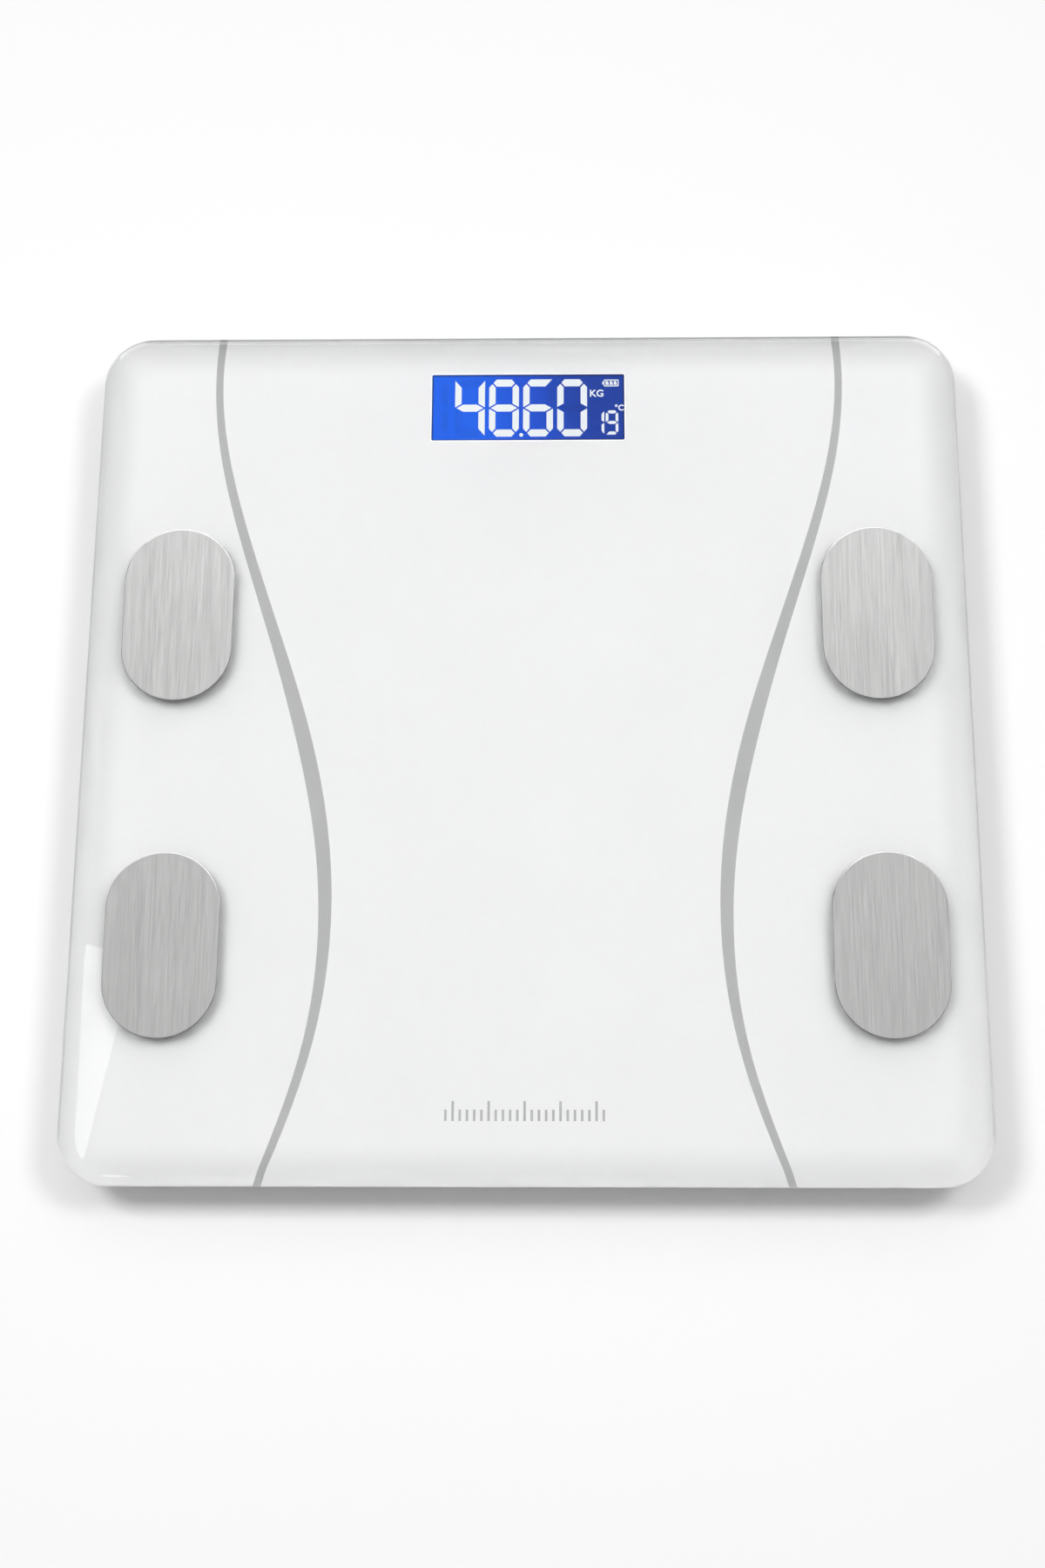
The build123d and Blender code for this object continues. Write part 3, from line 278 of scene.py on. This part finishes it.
def ink(name, colour, flake):
    """Screen-printed ink seen through the glass, with painted shade that darkens it near the edges, more at
    the rear than at the front, and a painted dark rim line away from the front edge.
    """
    finish = Finish(name, ior=1.3)
    lit, towards_rear, inside = painted_edge_shade_masks(finish)
    speckle = finish.noise(2600.0, 2.0)
    cloud = finish.noise(18.0, 3.0)
    darker, lighter = shade(colour, 1 - INK_MOTTLE), shade(colour, 1 + INK_MOTTLE)
    mottled = finish.tone(speckle * flake + cloud * 0.4, darker, lighter)
    # painted shade: the print colour used near the edges, darker towards the rear
    edge = finish.tone(towards_rear, shade(colour, PAINTED_EDGE_SHADE_FRONT), shade(colour, PAINTED_EDGE_SHADE_REAR))
    # painted shade: the dark outermost line of the print, away from the front edge
    rim = (*shade(colour, PAINTED_RIM_SHADE), 1.0)
    finish.set("Base Color", finish.blend(inside, rim, finish.blend(lit, edge, mottled)))
    finish.set("Roughness", 0.55 + speckle * 0.1)
    finish.relief(speckle, 0.01 * MM, 0.3)
    return finish.material


def brushed_steel():
    """Steel brushed lengthways, with fine streaks of uneven length."""
    finish = Finish("brushed_electrode_steel", metallic=1.0)
    fine = finish.noise(1.0, 3.0, 0.6, finish.stretched(STEEL_FINE_GRAIN))
    broad = finish.noise(1.0, 2.0, 0.5, finish.stretched(STEEL_BROAD_GRAIN))
    streak = (fine * 0.65 + broad * 0.35).over(0.32, 0.68)
    finish.set("Base Color", finish.tone(streak, STEEL_DARK, STEEL_LIGHT))
    finish.set("Roughness", 0.34 + streak * 0.14)
    finish.relief(fine, 0.012 * MM, 0.6)
    return finish.material


def moulded(name, colour, roughness, grain=1400.0, depth=0.03):
    """Moulded plastic with a fine spark-eroded texture."""
    finish = Finish(name, ior=1.46)
    grit = finish.noise(grain, 3.0, 0.6)
    cloud = finish.noise(25.0, 3.0)
    finish.set("Base Color", finish.tone(cloud, shade(colour, 0.95), shade(colour, 1.04)))
    finish.set("Roughness", roughness + grit * 0.12 - cloud * 0.05)
    finish.relief(grit, depth * MM, 0.5)
    return finish.material


def pad_rubber():
    """Soft rubber with a fine pebbled grip and a trace of floor dust."""
    finish = Finish("foot_pad_rubber", ior=1.5)
    pebble = finish.cells(1500.0)
    dust = finish.noise(60.0, 5.0, 0.65).over(0.45, 0.75)
    finish.set("Base Color", finish.tone(dust, (0.17, 0.172, 0.175), (0.25, 0.247, 0.24)))
    finish.set("Roughness", 0.72 + dust * 0.18)
    finish.relief(1 - pebble, 0.06 * MM, 0.6)
    return finish.material


def sheet_metal(name, colour, roughness, grain=(1200.0, 60.0, 1200.0)):
    """Blanked or plated metal with a faint rolling grain."""
    finish = Finish(name, metallic=1.0)
    rolled = finish.noise(1.0, 3.0, 0.6, finish.stretched(grain))
    stain = finish.noise(120.0, 4.0)
    finish.set("Base Color", finish.tone(stain, shade(colour, 0.88), shade(colour, 1.06)))
    finish.set("Roughness", roughness + rolled * 0.12)
    finish.relief(rolled, 0.01 * MM, 0.4)
    return finish.material


def foam():
    """Pale foam tape with fine pores, with painted shade darker in their pits."""
    finish = Finish("adhesive_foam", ior=1.4)
    pores = finish.cells(2200.0)
    # painted shade: darker in the pits of the pores, where the relief is lowest
    finish.set("Base Color", finish.tone(pores, (0.6, 0.6, 0.59), (0.86, 0.86, 0.85)))
    finish.set("Roughness", 0.85 + pores * 0.1)
    finish.relief(pores, 0.1 * MM, 0.7)
    return finish.material


def insulation():
    """Red wire insulation, a little worn."""
    finish = Finish("wire_insulation", ior=1.45)
    wear = finish.noise(400.0, 2.0)
    finish.set("Base Color", finish.tone(wear, (0.42, 0.03, 0.025), (0.6, 0.06, 0.05)))
    finish.set("Roughness", 0.4 + wear * 0.15)
    finish.relief(wear, 0.02 * MM, 0.3)
    return finish.material


def solder_mask():
    """Green board with faint copper tracks under the mask."""
    finish = Finish("board_solder_mask", ior=1.5)
    x, _, _ = finish.axes()
    wobble = finish.noise(90.0, 1.0)
    track = (x * TRACK_WAVE + wobble * 6.0).sine().over(0.75, 0.95)
    finish.set("Base Color", finish.tone(track, (0.012, 0.12, 0.045), (0.03, 0.24, 0.09)))
    finish.set("Roughness", 0.3 + wobble * 0.15)
    finish.relief(track, 0.03 * MM, 0.5)
    return finish.material


def battery_film():
    """Dark printed sleeve with a lighter band at both ends."""
    finish = Finish("battery_film", metallic=0.6)
    x, _, _ = finish.axes()
    band = abs(x).over(SLEEVE_BAND_FROM, SLEEVE_BAND_FULL)
    scuff = finish.noise(300.0, 4.0).over(0.55, 0.7)
    colour = finish.tone(band, (0.03, 0.035, 0.04), (0.45, 0.47, 0.5))
    finish.set("Base Color", finish.blend(scuff * 0.25, colour, (0.6, 0.6, 0.6, 1.0)))
    finish.set("Roughness", 0.28 + scuff * 0.2)
    return finish.material


def label_film():
    """Silver-grey label: a plain border and ruled lines, with nothing written on it."""
    finish = Finish("label_film", ior=1.4)
    low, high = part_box("rating_label")
    x, y, _ = finish.axes()
    half_x, half_y = (high.x - low.x) / 2, (high.y - low.y) / 2
    centre_y = (high.y + low.y) / 2
    from_edge = (half_x - abs(x)).least(half_y - abs(y - centre_y))
    border = abs(from_edge - LABEL_BORDER_INSET).over(*LABEL_BORDER_EDGE)
    from_rule = abs(((y - centre_y) / LABEL_ROW).wrapped(-0.5, 0.5))
    rule = from_rule.over(*LABEL_RULE_EDGE) * from_edge.over(*LABEL_MARGIN)
    paper = finish.noise(900.0, 3.0)
    plain = finish.tone(paper, (0.66, 0.665, 0.67), (0.74, 0.745, 0.75))
    finish.set("Base Color", finish.blend(border.most(rule), plain, (0.16, 0.165, 0.17, 1.0)))
    finish.set("Roughness", 0.42 + paper * 0.12)
    finish.relief(paper, 0.01 * MM, 0.3)
    return finish.material


BLUE_BRIGHT = display_colour(4, 98, 241)
BLUE_MIDDLE = display_colour(2, 77, 214)
BLUE_DEEP = display_colour(0, 51, 154)
DISPLAY_GLOW = 0.9
SEGMENT_GLOW = 0.86
# painted glow of the white ink line round the window
WINDOW_RIM_GLOW = 0.22
DARK_SEGMENT_SHADE = 0.90       # share of the lit display's colour
BORDER_SHADE = 0.2


def lit_display(name, factor):
    """Blue display lit from its left end, fading to the right and the rear."""
    finish = Finish(name, roughness=0.6, specular_ior_level=0.0)
    low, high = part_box("lcd_panel")
    x, y, _ = finish.axes()
    along = ((x - low.x) / (high.x - low.x)).over(0.02, 1.0)
    depth = (y - low.y) / (high.y - low.y)
    cloud = finish.noise(45.0, 2.0)
    share = (along * 0.85 + depth * 0.12 + cloud * 0.08 - 0.04).over(0.0, 1.0)
    left = finish.tone(share.over(0.0, 0.5), shade(BLUE_BRIGHT, factor), shade(BLUE_MIDDLE, factor))
    glow = finish.blend(share.over(0.4, 1.0), left, (*shade(BLUE_DEEP, factor), 1.0))
    finish.set("Emission Color", glow)
    finish.surface.inputs["Emission Strength"].default_value = DISPLAY_GLOW
    finish.set("Base Color", finish.tone(cloud, (0.002, 0.006, 0.03), (0.003, 0.01, 0.045)))
    return finish.material


def lit_segment():
    """White segments, a touch dimmer and bluer where the backlight is weaker."""
    finish = Finish("lit_segment", roughness=0.6, specular_ior_level=0.0)
    low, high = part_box("lcd_panel")
    x, _, _ = finish.axes()
    along = (x - low.x) / (high.x - low.x)
    grain = finish.noise(700.0, 2.0)
    glow = finish.tone((along + grain * 0.1).over(0.2, 1.1), (0.93, 0.98, 0.99), (0.86, 0.92, 0.97))
    finish.set("Emission Color", glow)
    finish.surface.inputs["Emission Strength"].default_value = SEGMENT_GLOW
    finish.set("Base Color", finish.tone(grain, (0.05, 0.05, 0.05), (0.08, 0.08, 0.08)))
    return finish.material


def painted_glow_window_rim():
    """Bare white ink round the window, with a painted glow standing in for the display's light on it from
    under.
    """
    finish = Finish("window_rim_ink_painted_glow", ior=1.4, roughness=0.5)
    grain = finish.noise(900.0, 2.0)
    finish.set("Base Color", finish.tone(grain, (0.88, 0.88, 0.9), (0.95, 0.95, 0.97)))
    # painted glow: the ink gives off its own light
    finish.set("Emission Color", finish.tone(grain, (0.9, 0.94, 1.0), (1.0, 1.0, 1.0)))
    finish.surface.inputs["Emission Strength"].default_value = WINDOW_RIM_GLOW
    return finish.material


def make_finishes():
    """Every finish by the record's slot."""
    return {
        "clear_glass": clear_glass(),
        "white_print": ink("white_ink", PRINT_WHITE, 0.3),
        "grey_print": ink("grey_ink", PRINT_GREY, 0.9),
        "foam_tape": foam(),
        "electrode_steel": brushed_steel(),
        "white_plastic": moulded("white_moulding", (0.76, 0.765, 0.765), 0.42),
        "grey_plastic": moulded("grey_moulding", (0.33, 0.335, 0.34), 0.45),
        "black_plastic": moulded("black_moulding", (0.02, 0.02, 0.022), 0.4),
        "pad_rubber": pad_rubber(),
        "cell_steel": sheet_metal("load_cell_steel", (0.5, 0.5, 0.51), 0.38),
        "gauge_sealant": moulded("gauge_sealant", (0.8, 0.8, 0.77), 0.5, 500.0, 0.1),
        "lead_insulation": insulation(),
        "board_laminate": solder_mask(),
        "black_resin": moulded("poured_resin", (0.012, 0.012, 0.013), 0.25, 250.0, 0.1),
        "plated_steel": sheet_metal("nickel_plate", (0.68, 0.67, 0.64), 0.2, (500.0, 500.0, 500.0)),
        "display_glass": lit_display("lit_display", 1.0),
        "light_guide": moulded("light_guide", (0.75, 0.8, 0.9), 0.2, 900.0, 0.02),
        "contact_rubber": sheet_metal("contact_rubber", (0.08, 0.08, 0.085), 0.6, (80.0, 80.0, 80.0)),
        "battery_sleeve": battery_film(),
        "label_film": label_film(),
    }


def dress(obj, material):
    obj.data.materials.clear()
    obj.data.materials.append(material)


def dress_nodes(finishes):
    for part in frame["record"]["subparts"]:
        dress(frame["nodes"][part["node"]], finishes[part["material_slot"]])


# ---------------------------------------------------------------- mesh work
RIM_CORNER_STEPS = 5


def deselect():
    if bpy.context.object and bpy.context.object.mode != "OBJECT":
        bpy.ops.object.mode_set(mode="OBJECT")
    bpy.ops.object.select_all(action="DESELECT")


def settle(obj, name):
    """Puts a finished piece's place in its mesh."""
    deselect()
    bpy.context.view_layer.objects.active = obj
    obj.select_set(True)
    bpy.ops.object.transform_apply(location=True, rotation=True, scale=True)
    obj.name = name
    obj.data.name = name
    return obj


def flat_plate(area, z):
    """A rectangle over the area x0, x1, y0, y1 at height z, left in edit mode."""
    x0, x1, y0, y1 = area
    deselect()
    bpy.ops.mesh.primitive_plane_add(size=1.0, location=((x0 + x1) / 2, (y0 + y1) / 2, z))
    plate = bpy.context.object
    plate.scale = (x1 - x0, y1 - y0, 1.0)
    bpy.ops.object.transform_apply(location=True, rotation=True, scale=True)
    bpy.ops.object.mode_set(mode="EDIT")
    return plate


def thicken_face(thickness):
    """Makes the flat mesh in edit mode a closed solid, and leaves edit mode."""
    bpy.ops.mesh.select_all(action="SELECT")
    bpy.ops.mesh.extrude_region_move(TRANSFORM_OT_translate={"value": (0.0, 0.0, thickness)})
    bpy.ops.mesh.select_all(action="SELECT")
    bpy.ops.mesh.normals_make_consistent(inside=False)
    bpy.ops.object.mode_set(mode="OBJECT")


def trimmed_bar(area, levels, cuts=()):
    """A thin bar trimmed by cut lines, each a point and the direction that is cut away."""
    bar = flat_plate(area, levels[0])
    for point, away in cuts:
        bpy.ops.mesh.select_all(action="SELECT")
        bpy.ops.mesh.bisect(plane_co=(*point, levels[0]), plane_no=(*away, 0.0), clear_outer=True)
    thicken_face(levels[1] - levels[0])
    return bar


def join(pieces, name):
    """Makes one piece of several."""
    deselect()
    for piece in pieces:
        piece.select_set(True)
    bpy.context.view_layer.objects.active = pieces[0]
    if len(pieces) > 1:
        bpy.ops.object.join()
    return settle(bpy.context.view_layer.objects.active, name)


def framed_rim(area, levels, width, corner, name):
    """A flat rectangular rim with rounded corners, its outer edge on the area's."""
    rim = flat_plate(area, levels[0])
    bpy.ops.mesh.select_all(action="SELECT")
    bpy.ops.mesh.bevel(offset=corner, segments=RIM_CORNER_STEPS, affect="VERTICES")
    bpy.ops.mesh.select_all(action="SELECT")
    bpy.ops.mesh.inset(thickness=width, use_even_offset=True)
    bpy.ops.mesh.delete(type="FACE")
    thicken_face(levels[1] - levels[0])
    return settle(rim, name)


def finish_piece(piece, body, material):
    """Gives a piece its finish and the body it moves with."""
    dress(piece, material)
    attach(piece, body)


# ---------------------------------------------------------------- print under the glass
INK_GAP = 0.02 * MM     # film of air between the glass and the ink
MERGE_DISTANCE = 0.001 * MM
INK_NODES = ("printed_backing", "printed_stripe_left", "printed_stripe_right", "printed_tick_row")


def make_ink(finishes):
    """The printed layer, its upper face just clear of the glass so that light reaches it."""
    slots = {part["node"]: part["material_slot"] for part in frame["record"]["subparts"]}
    for node in INK_NODES:
        deselect()
        layer = frame["nodes"][node].copy()
        layer.data = layer.data.copy()
        layer.parent = None
        for key in list(layer.keys()):
            del layer[key]
        bpy.context.scene.collection.objects.link(layer)
        bpy.context.view_layer.objects.active = layer
        layer.select_set(True)
        bpy.ops.object.mode_set(mode="EDIT")
        bpy.ops.mesh.select_all(action="SELECT")
        bpy.ops.mesh.remove_doubles(threshold=MERGE_DISTANCE)
        bpy.ops.mesh.select_all(action="DESELECT")
        bpy.ops.object.mode_set(mode="OBJECT")
        low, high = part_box(node)
        for vertex in layer.data.vertices:
            vertex.select = vertex.co.z > (low.z + high.z) / 2
        bpy.ops.object.mode_set(mode="EDIT")
        bpy.ops.transform.translate(value=(0.0, 0.0, -INK_GAP))
        bpy.ops.object.mode_set(mode="OBJECT")
        settle(layer, node.replace("printed", "ink"))
        finish_piece(layer, FIXED_BODY, finishes[slots[node]])
        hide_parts(node)


# ---------------------------------------------------------------- display
SEGMENT_Z = (0.02 * MM, 0.12 * MM)       # above the display's surface
PANEL_PAST_WINDOW_SIDE = 3.6 * MM
PANEL_PAST_WINDOW_FRONT = 3.4 * MM
PANEL_PAST_WINDOW_REAR = 1.5 * MM
BORDER_W = 0.4 * MM
WINDOW_CORNER_R = 0.5 * MM
HALO_W = 0.35 * MM
HALO_Z = (0.005 * MM, 0.015 * MM)        # below the glass
READING = "4860"
DIGIT_W = 9.1 * MM
DIGIT_H = 19.2 * MM
DIGIT_PITCH = 10.4 * MM
DIGIT_STROKE_X = 1.95 * MM
DIGIT_STROKE_Y = 2.35 * MM
SEGMENT_GAP = 0.26 * MM
CHAMFER_SHARE = 1.15                     # of a stroke, cut off where two lit segments meet
DIGIT_LEFT = -22.3 * MM
DIGIT_BOTTOM_FROM_WINDOW = 1.35 * MM
DARK_LEAD_GAP = 0.8 * MM                 # between the first digit and the dark one before it
DIGITS_BEFORE_POINT = 2
POINT_R = 0.6 * MM
POINT_BACK = 0.55 * MM                   # from the next digit's left side
POINT_FROM_WINDOW = 1.9 * MM
POINT_SIDES = 20
SMALL_READING = "19"
SMALL_SHARE = 0.42                       # of a large digit's size
SMALL_SPACE = 0.45 * MM
SMALL_LEFT = 19.4 * MM
SMALL_FROM_WINDOW = 1.9 * MM
BATTERY_MARK_LEFT = 23.1 * MM
BATTERY_MARK_DOWN = 4.0 * MM             # like the unit marks' below, from the window's rear edge
BATTERY_MARK_W = 4.6 * MM
BATTERY_MARK_H = 2.3 * MM
BATTERY_MARK_LINE = 0.3 * MM
BATTERY_MARK_CORNER = 0.4 * MM
BATTERY_TIP_X = (-0.45 * MM, -0.1 * MM)  # from the mark's left side
BATTERY_TIP_INSET = 0.7 * MM
BATTERY_BARS = 3
BATTERY_BAR_LEFT = 0.6 * MM
BATTERY_BAR_PITCH = 1.25 * MM
BATTERY_BAR_W = 1.0 * MM
BATTERY_BAR_SLANT_X = 0.9 * MM
BATTERY_BAR_SLANT = (0.96, 0.28)
BATTERY_BAR_INSET = 0.55 * MM
CAPITAL_SHARE = 0.72                     # a capital's height as a share of its font size
MARK_WEIGHT = 0.06 * MM
UNIT_MARKS = {                           # name: text, left side, distance down, height
    "kilogram_mark": ("KG", 18.7 * MM, 7.4 * MM, 2.3 * MM),
    "celsius_mark": ("°C", 26.4 * MM, 12.1 * MM, 1.9 * MM),
}
SEGMENTS_OF = {
    "0": "abcdef",
    "1": "bc",
    "4": "bcfg",
    "6": "acdefg",
    "8": "abcdefg",
    "9": "abcdfg",
}


def display_window():
    """The area x0, x1, y0, y1 of the window in the print."""
    low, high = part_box("lcd_panel")
    x = (high.x - low.x) / 2 - PANEL_PAST_WINDOW_SIDE
    return -x, x, low.y + PANEL_PAST_WINDOW_FRONT, high.y - PANEL_PAST_WINDOW_REAR


def segment_levels():
    """The lower and upper face of everything shown on the display."""
    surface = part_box("lcd_panel")[1].z
    return surface + SEGMENT_Z[0], surface + SEGMENT_Z[1]


def segment(letter, lit, x, y, size):
    """One segment of a digit whose lower left corner is at x, y, its ends cut to suit the lit ones."""
    w, h = DIGIT_W * size, DIGIT_H * size
    tx, ty = DIGIT_STROKE_X * size, DIGIT_STROKE_Y * size
    gap = SEGMENT_GAP * (0.5 + size / 2)        # a small digit's gaps shrink half as fast as it does
    run = math.hypot(tx, ty)
    lean = (ty / run, tx / run)
    middle = h / 2
    boxes = {
        "a": (0, w, h - ty, h),
        "d": (0, w, 0, ty),
        "g": (0, w, middle - ty / 2, middle + ty / 2),
        "f": (0, tx, middle, h),
        "b": (w - tx, w, middle, h),
        "e": (0, tx, 0, middle),
        "c": (w - tx, w, 0, middle),
    }
    cuts = []
    corners = {"a": "fb", "d": "ec", "f": "a", "b": "a", "e": "d", "c": "d"}

    def mitre(corner_x, corner_y, along_x, along_y, keep_level):
        """Cut on the line from an outer corner inwards, keeping the level or the upright side."""
        sign = -1 if keep_level else 1
        away = (sign * lean[0] * along_x, -sign * lean[1] * along_y)
        point = (corner_x - away[0] * gap, corner_y - away[1] * gap)
        cuts.append((point, away))

    for other in corners.get(letter, ""):
        upright = other if letter in "ad" else letter
        cx = 0 if upright in "fe" else w
        cy = h if upright in "fb" else 0
        inward_x = 1 if cx == 0 else -1
        inward_y = -1 if cy else 1
        mitre(cx, cy, inward_x, inward_y, letter in "ad")
        if other in lit:
            cut = Vector((CHAMFER_SHARE * tx, CHAMFER_SHARE * ty))
            away = Vector((-inward_x * cut.y, -inward_y * cut.x)).normalized()
            cuts.append(((cx + inward_x * cut.x, cy), tuple(away)))
    half = math.hypot(tx, ty / 2)
    slope = (ty / 2 / half, tx / half)
    if letter in "fbec":
        cx = 0 if letter in "fe" else w
        inward_x = 1 if cx == 0 else -1
        up = 1 if letter in "fb" else -1
        away = (inward_x * slope[0], -up * slope[1])
        cuts.append(((cx - away[0] * gap, middle - away[1] * gap), away))
    if letter == "g":
        for cx, inward_x in ((0, 1), (w, -1)):
            for up in (1, -1):
                away = (-inward_x * slope[0], up * slope[1])
                cuts.append(((cx - away[0] * gap, middle - away[1] * gap), away))
    x0, x1, y0, y1 = boxes[letter]
    placed = [((px + x, py + y), away) for (px, py), away in cuts]
    return trimmed_bar((x + x0, x + x1, y + y0, y + y1), segment_levels(), placed)


def digit(character, x, y, size, lit=True):
    """The lit segments of a digit, or those that stay dark."""
    on = SEGMENTS_OF[character]
    letters = on if lit else [letter for letter in "abcdefg" if letter not in on]
    return [segment(letter, on, x, y, size) for letter in letters]


def mark(text, x, y, height, name):
    """A short unit mark on the display."""
    lower, upper = segment_levels()
    deselect()
    bpy.ops.object.text_add(location=(x, y, lower))
    letters = bpy.context.object
    letters.data.body = text
    letters.data.size = height / CAPITAL_SHARE
    letters.data.extrude = (upper - lower) / 2
    letters.data.offset = MARK_WEIGHT
    letters.location.z += letters.data.extrude
    bpy.ops.object.convert(target="MESH")
    return settle(bpy.context.object, name)


def battery_mark(x0, y0):
    """A small battery outline with its tip and its slanted bars."""
    levels = segment_levels()
    x1, y1 = x0 + BATTERY_MARK_W, y0 + BATTERY_MARK_H
    outline = (x0, x1, y0, y1)
    tip = (x0 + BATTERY_TIP_X[0], x0 + BATTERY_TIP_X[1], y0 + BATTERY_TIP_INSET, y1 - BATTERY_TIP_INSET)
    pieces = [
        framed_rim(outline, levels, BATTERY_MARK_LINE, BATTERY_MARK_CORNER, "battery_mark_rim"),
        trimmed_bar(tip, levels),
    ]
    for n in range(BATTERY_BARS):
        left = x0 + BATTERY_BAR_LEFT + n * BATTERY_BAR_PITCH
        bar = (left, left + BATTERY_BAR_W, y0 + BATTERY_BAR_INSET, y1 - BATTERY_BAR_INSET)
        slant = ((left + BATTERY_BAR_SLANT_X, (y0 + y1) / 2), BATTERY_BAR_SLANT)
        pieces.append(trimmed_bar(bar, levels, [slant]))
    return pieces


def decimal_point(x, y):
    """A round dot: a circle filled and raised."""
    lower, upper = segment_levels()
    deselect()
    bpy.ops.mesh.primitive_circle_add(
        vertices=POINT_SIDES, radius=POINT_R, fill_type="NGON", location=(x, y, lower))
    dot = bpy.context.object
    bpy.ops.object.mode_set(mode="EDIT")
    thicken_face(upper - lower)
    return settle(dot, "decimal_point")


def make_display(finishes):
    """The reading, its dark segments, the border of the window and the white ink line round it, which has a
    painted glow.
    """
    window = display_window()
    x0, x1, y0, y1 = window
    bottom = y0 + DIGIT_BOTTOM_FROM_WINDOW
    lit, dark = [], []
    for n, character in enumerate(READING):
        x = DIGIT_LEFT + n * DIGIT_PITCH
        lit += digit(character, x, bottom, 1.0)
        dark += digit(character, x, bottom, 1.0, lit=False)
    lead_x = DIGIT_LEFT - DIGIT_PITCH - DARK_LEAD_GAP
    dark += [segment(letter, "bc", lead_x, bottom, 1.0) for letter in "bc"]
    small_pitch = DIGIT_W * SMALL_SHARE + SMALL_SPACE
    for n, character in enumerate(SMALL_READING):
        lit += digit(character, SMALL_LEFT + n * small_pitch, y0 + SMALL_FROM_WINDOW, SMALL_SHARE)
    point_x = DIGIT_LEFT + DIGITS_BEFORE_POINT * DIGIT_PITCH - POINT_BACK
    lit.append(decimal_point(point_x, y0 + POINT_FROM_WINDOW))
    lit += battery_mark(BATTERY_MARK_LEFT, y1 - BATTERY_MARK_DOWN)
    for name, (text, left, down, height) in UNIT_MARKS.items():
        lit.append(mark(text, left, y1 - down, height, name))
    finish_piece(join(lit, "display_segments"), FIXED_BODY, lit_segment())
    ghosts = join(dark, "display_dark_segments")
    finish_piece(ghosts, FIXED_BODY, lit_display("dark_segment", DARK_SEGMENT_SHADE))
    border = framed_rim(window, segment_levels(), BORDER_W, WINDOW_CORNER_R, "display_border")
    finish_piece(border, FIXED_BODY, lit_display("display_border_ink", BORDER_SHADE))
    glass_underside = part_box("glass_platform")[0].z
    halo_area = (x0 - HALO_W, x1 + HALO_W, y0 - HALO_W, y1 + HALO_W)
    halo_levels = (glass_underside - HALO_Z[1], glass_underside - HALO_Z[0])
    # white ink line round the window, with a painted glow
    halo = framed_rim(halo_area, halo_levels, HALO_W, WINDOW_CORNER_R + HALO_W, "window_halo")
    finish_piece(halo, FIXED_BODY, painted_glow_window_rim())


# ---------------------------------------------------------------- stage
def aim(obj, place, target):
    """Puts a camera or lamp at a place, facing the target with its top up."""
    back = (place - target).normalized()
    across = Vector((0, 0, 1)).cross(back).normalized()
    up = back.cross(across)
    obj.matrix_world = Matrix.Translation(place) @ Matrix((across, up, back)).transposed().to_4x4()


def add_camera():
    """The camera, turned round the scale, raised and rolled."""
    azimuth, elevation = math.radians(CAMERA_AZIMUTH), math.radians(CAMERA_ELEVATION)
    level = math.cos(elevation)
    back = Vector((math.sin(azimuth) * level, -math.cos(azimuth) * level, math.sin(elevation)))
    camera = bpy.data.objects.new("camera", bpy.data.cameras.new("camera"))
    bpy.context.scene.collection.objects.link(camera)
    aim(camera, AIM + back * CAMERA_DISTANCE, AIM)
    camera.matrix_world = camera.matrix_world @ Matrix.Rotation(math.radians(CAMERA_ROLL), 4, "Z")
    camera.data.lens = CAMERA_LENS
    camera.data.sensor_width = CAMERA_SENSOR
    camera.data.clip_start = CAMERA_NEAREST
    bpy.context.scene.camera = camera


def area_lamp(name, place, target, power, width, height):
    """A rectangular lamp facing a target."""
    light = bpy.data.lights.new(name, "AREA")
    light.shape = "RECTANGLE"
    light.size = width
    light.size_y = height
    light.energy = power
    lamp = bpy.data.objects.new(name, light)
    bpy.context.scene.collection.objects.link(lamp)
    aim(lamp, place, target)
    return lamp


def add_lamps():
    """Softboxes high at both sides, and a bright backdrop that only reflections show."""
    for name, (place, power) in KEYS.items():
        lamp = area_lamp(name, place, KEY_TARGET, power, KEY_SIDE, KEY_SIDE)
        lamp.visible_glossy = False
    level_target = Vector((0.0, 0.0, BACKDROP_PLACE.z))
    lamp = area_lamp("bright_backdrop", BACKDROP_PLACE, level_target, BACKDROP_POWER, *BACKDROP_SIZE)
    lamp.visible_diffuse = False
    lamp.visible_transmission = False


def add_sky():
    """A soft white dome, bright above and a little behind the scale, and dim elsewhere."""
    world = bpy.data.worlds.new("studio")
    world.use_nodes = True
    nodes = Nodes(world.node_tree)
    towards = nodes.node("ShaderNodeTexCoord", output="Generated")
    dot = {"operation": "DOT_PRODUCT"}
    facing = nodes.node("ShaderNodeVectorMath", dot, {0: towards, 1: SKY_TOWARDS}, output="Value")
    strength = SKY_LOW + facing.over(*SKY_SPREAD) * (SKY_HIGH - SKY_LOW)
    background = world.node_tree.nodes["Background"]
    nodes.feed(background.inputs["Strength"], strength)
    nodes.feed(background.inputs["Color"], SKY_COLOUR)
    bpy.context.scene.world = world


def add_stage():
    """The pale floor, the sky and the lamps."""
    deselect()
    bpy.ops.mesh.primitive_plane_add(size=FLOOR_SIDE, location=(0.0, 0.0, 0.0))
    floor = bpy.context.object
    floor.name = "floor"
    finish = Finish("pale_floor", roughness=FLOOR_ROUGHNESS, specular_ior_level=0.0)
    finish.set("Base Color", finish.tone(finish.noise(3.0), *FLOOR_TONES))
    dress(floor, finish.material)
    add_sky()
    add_lamps()
    bpy.context.scene.view_settings.view_transform = "Standard"


add_camera()
add_stage()
finishes = make_finishes()
dress_nodes(finishes)
make_ink(finishes)
make_display(finishes)
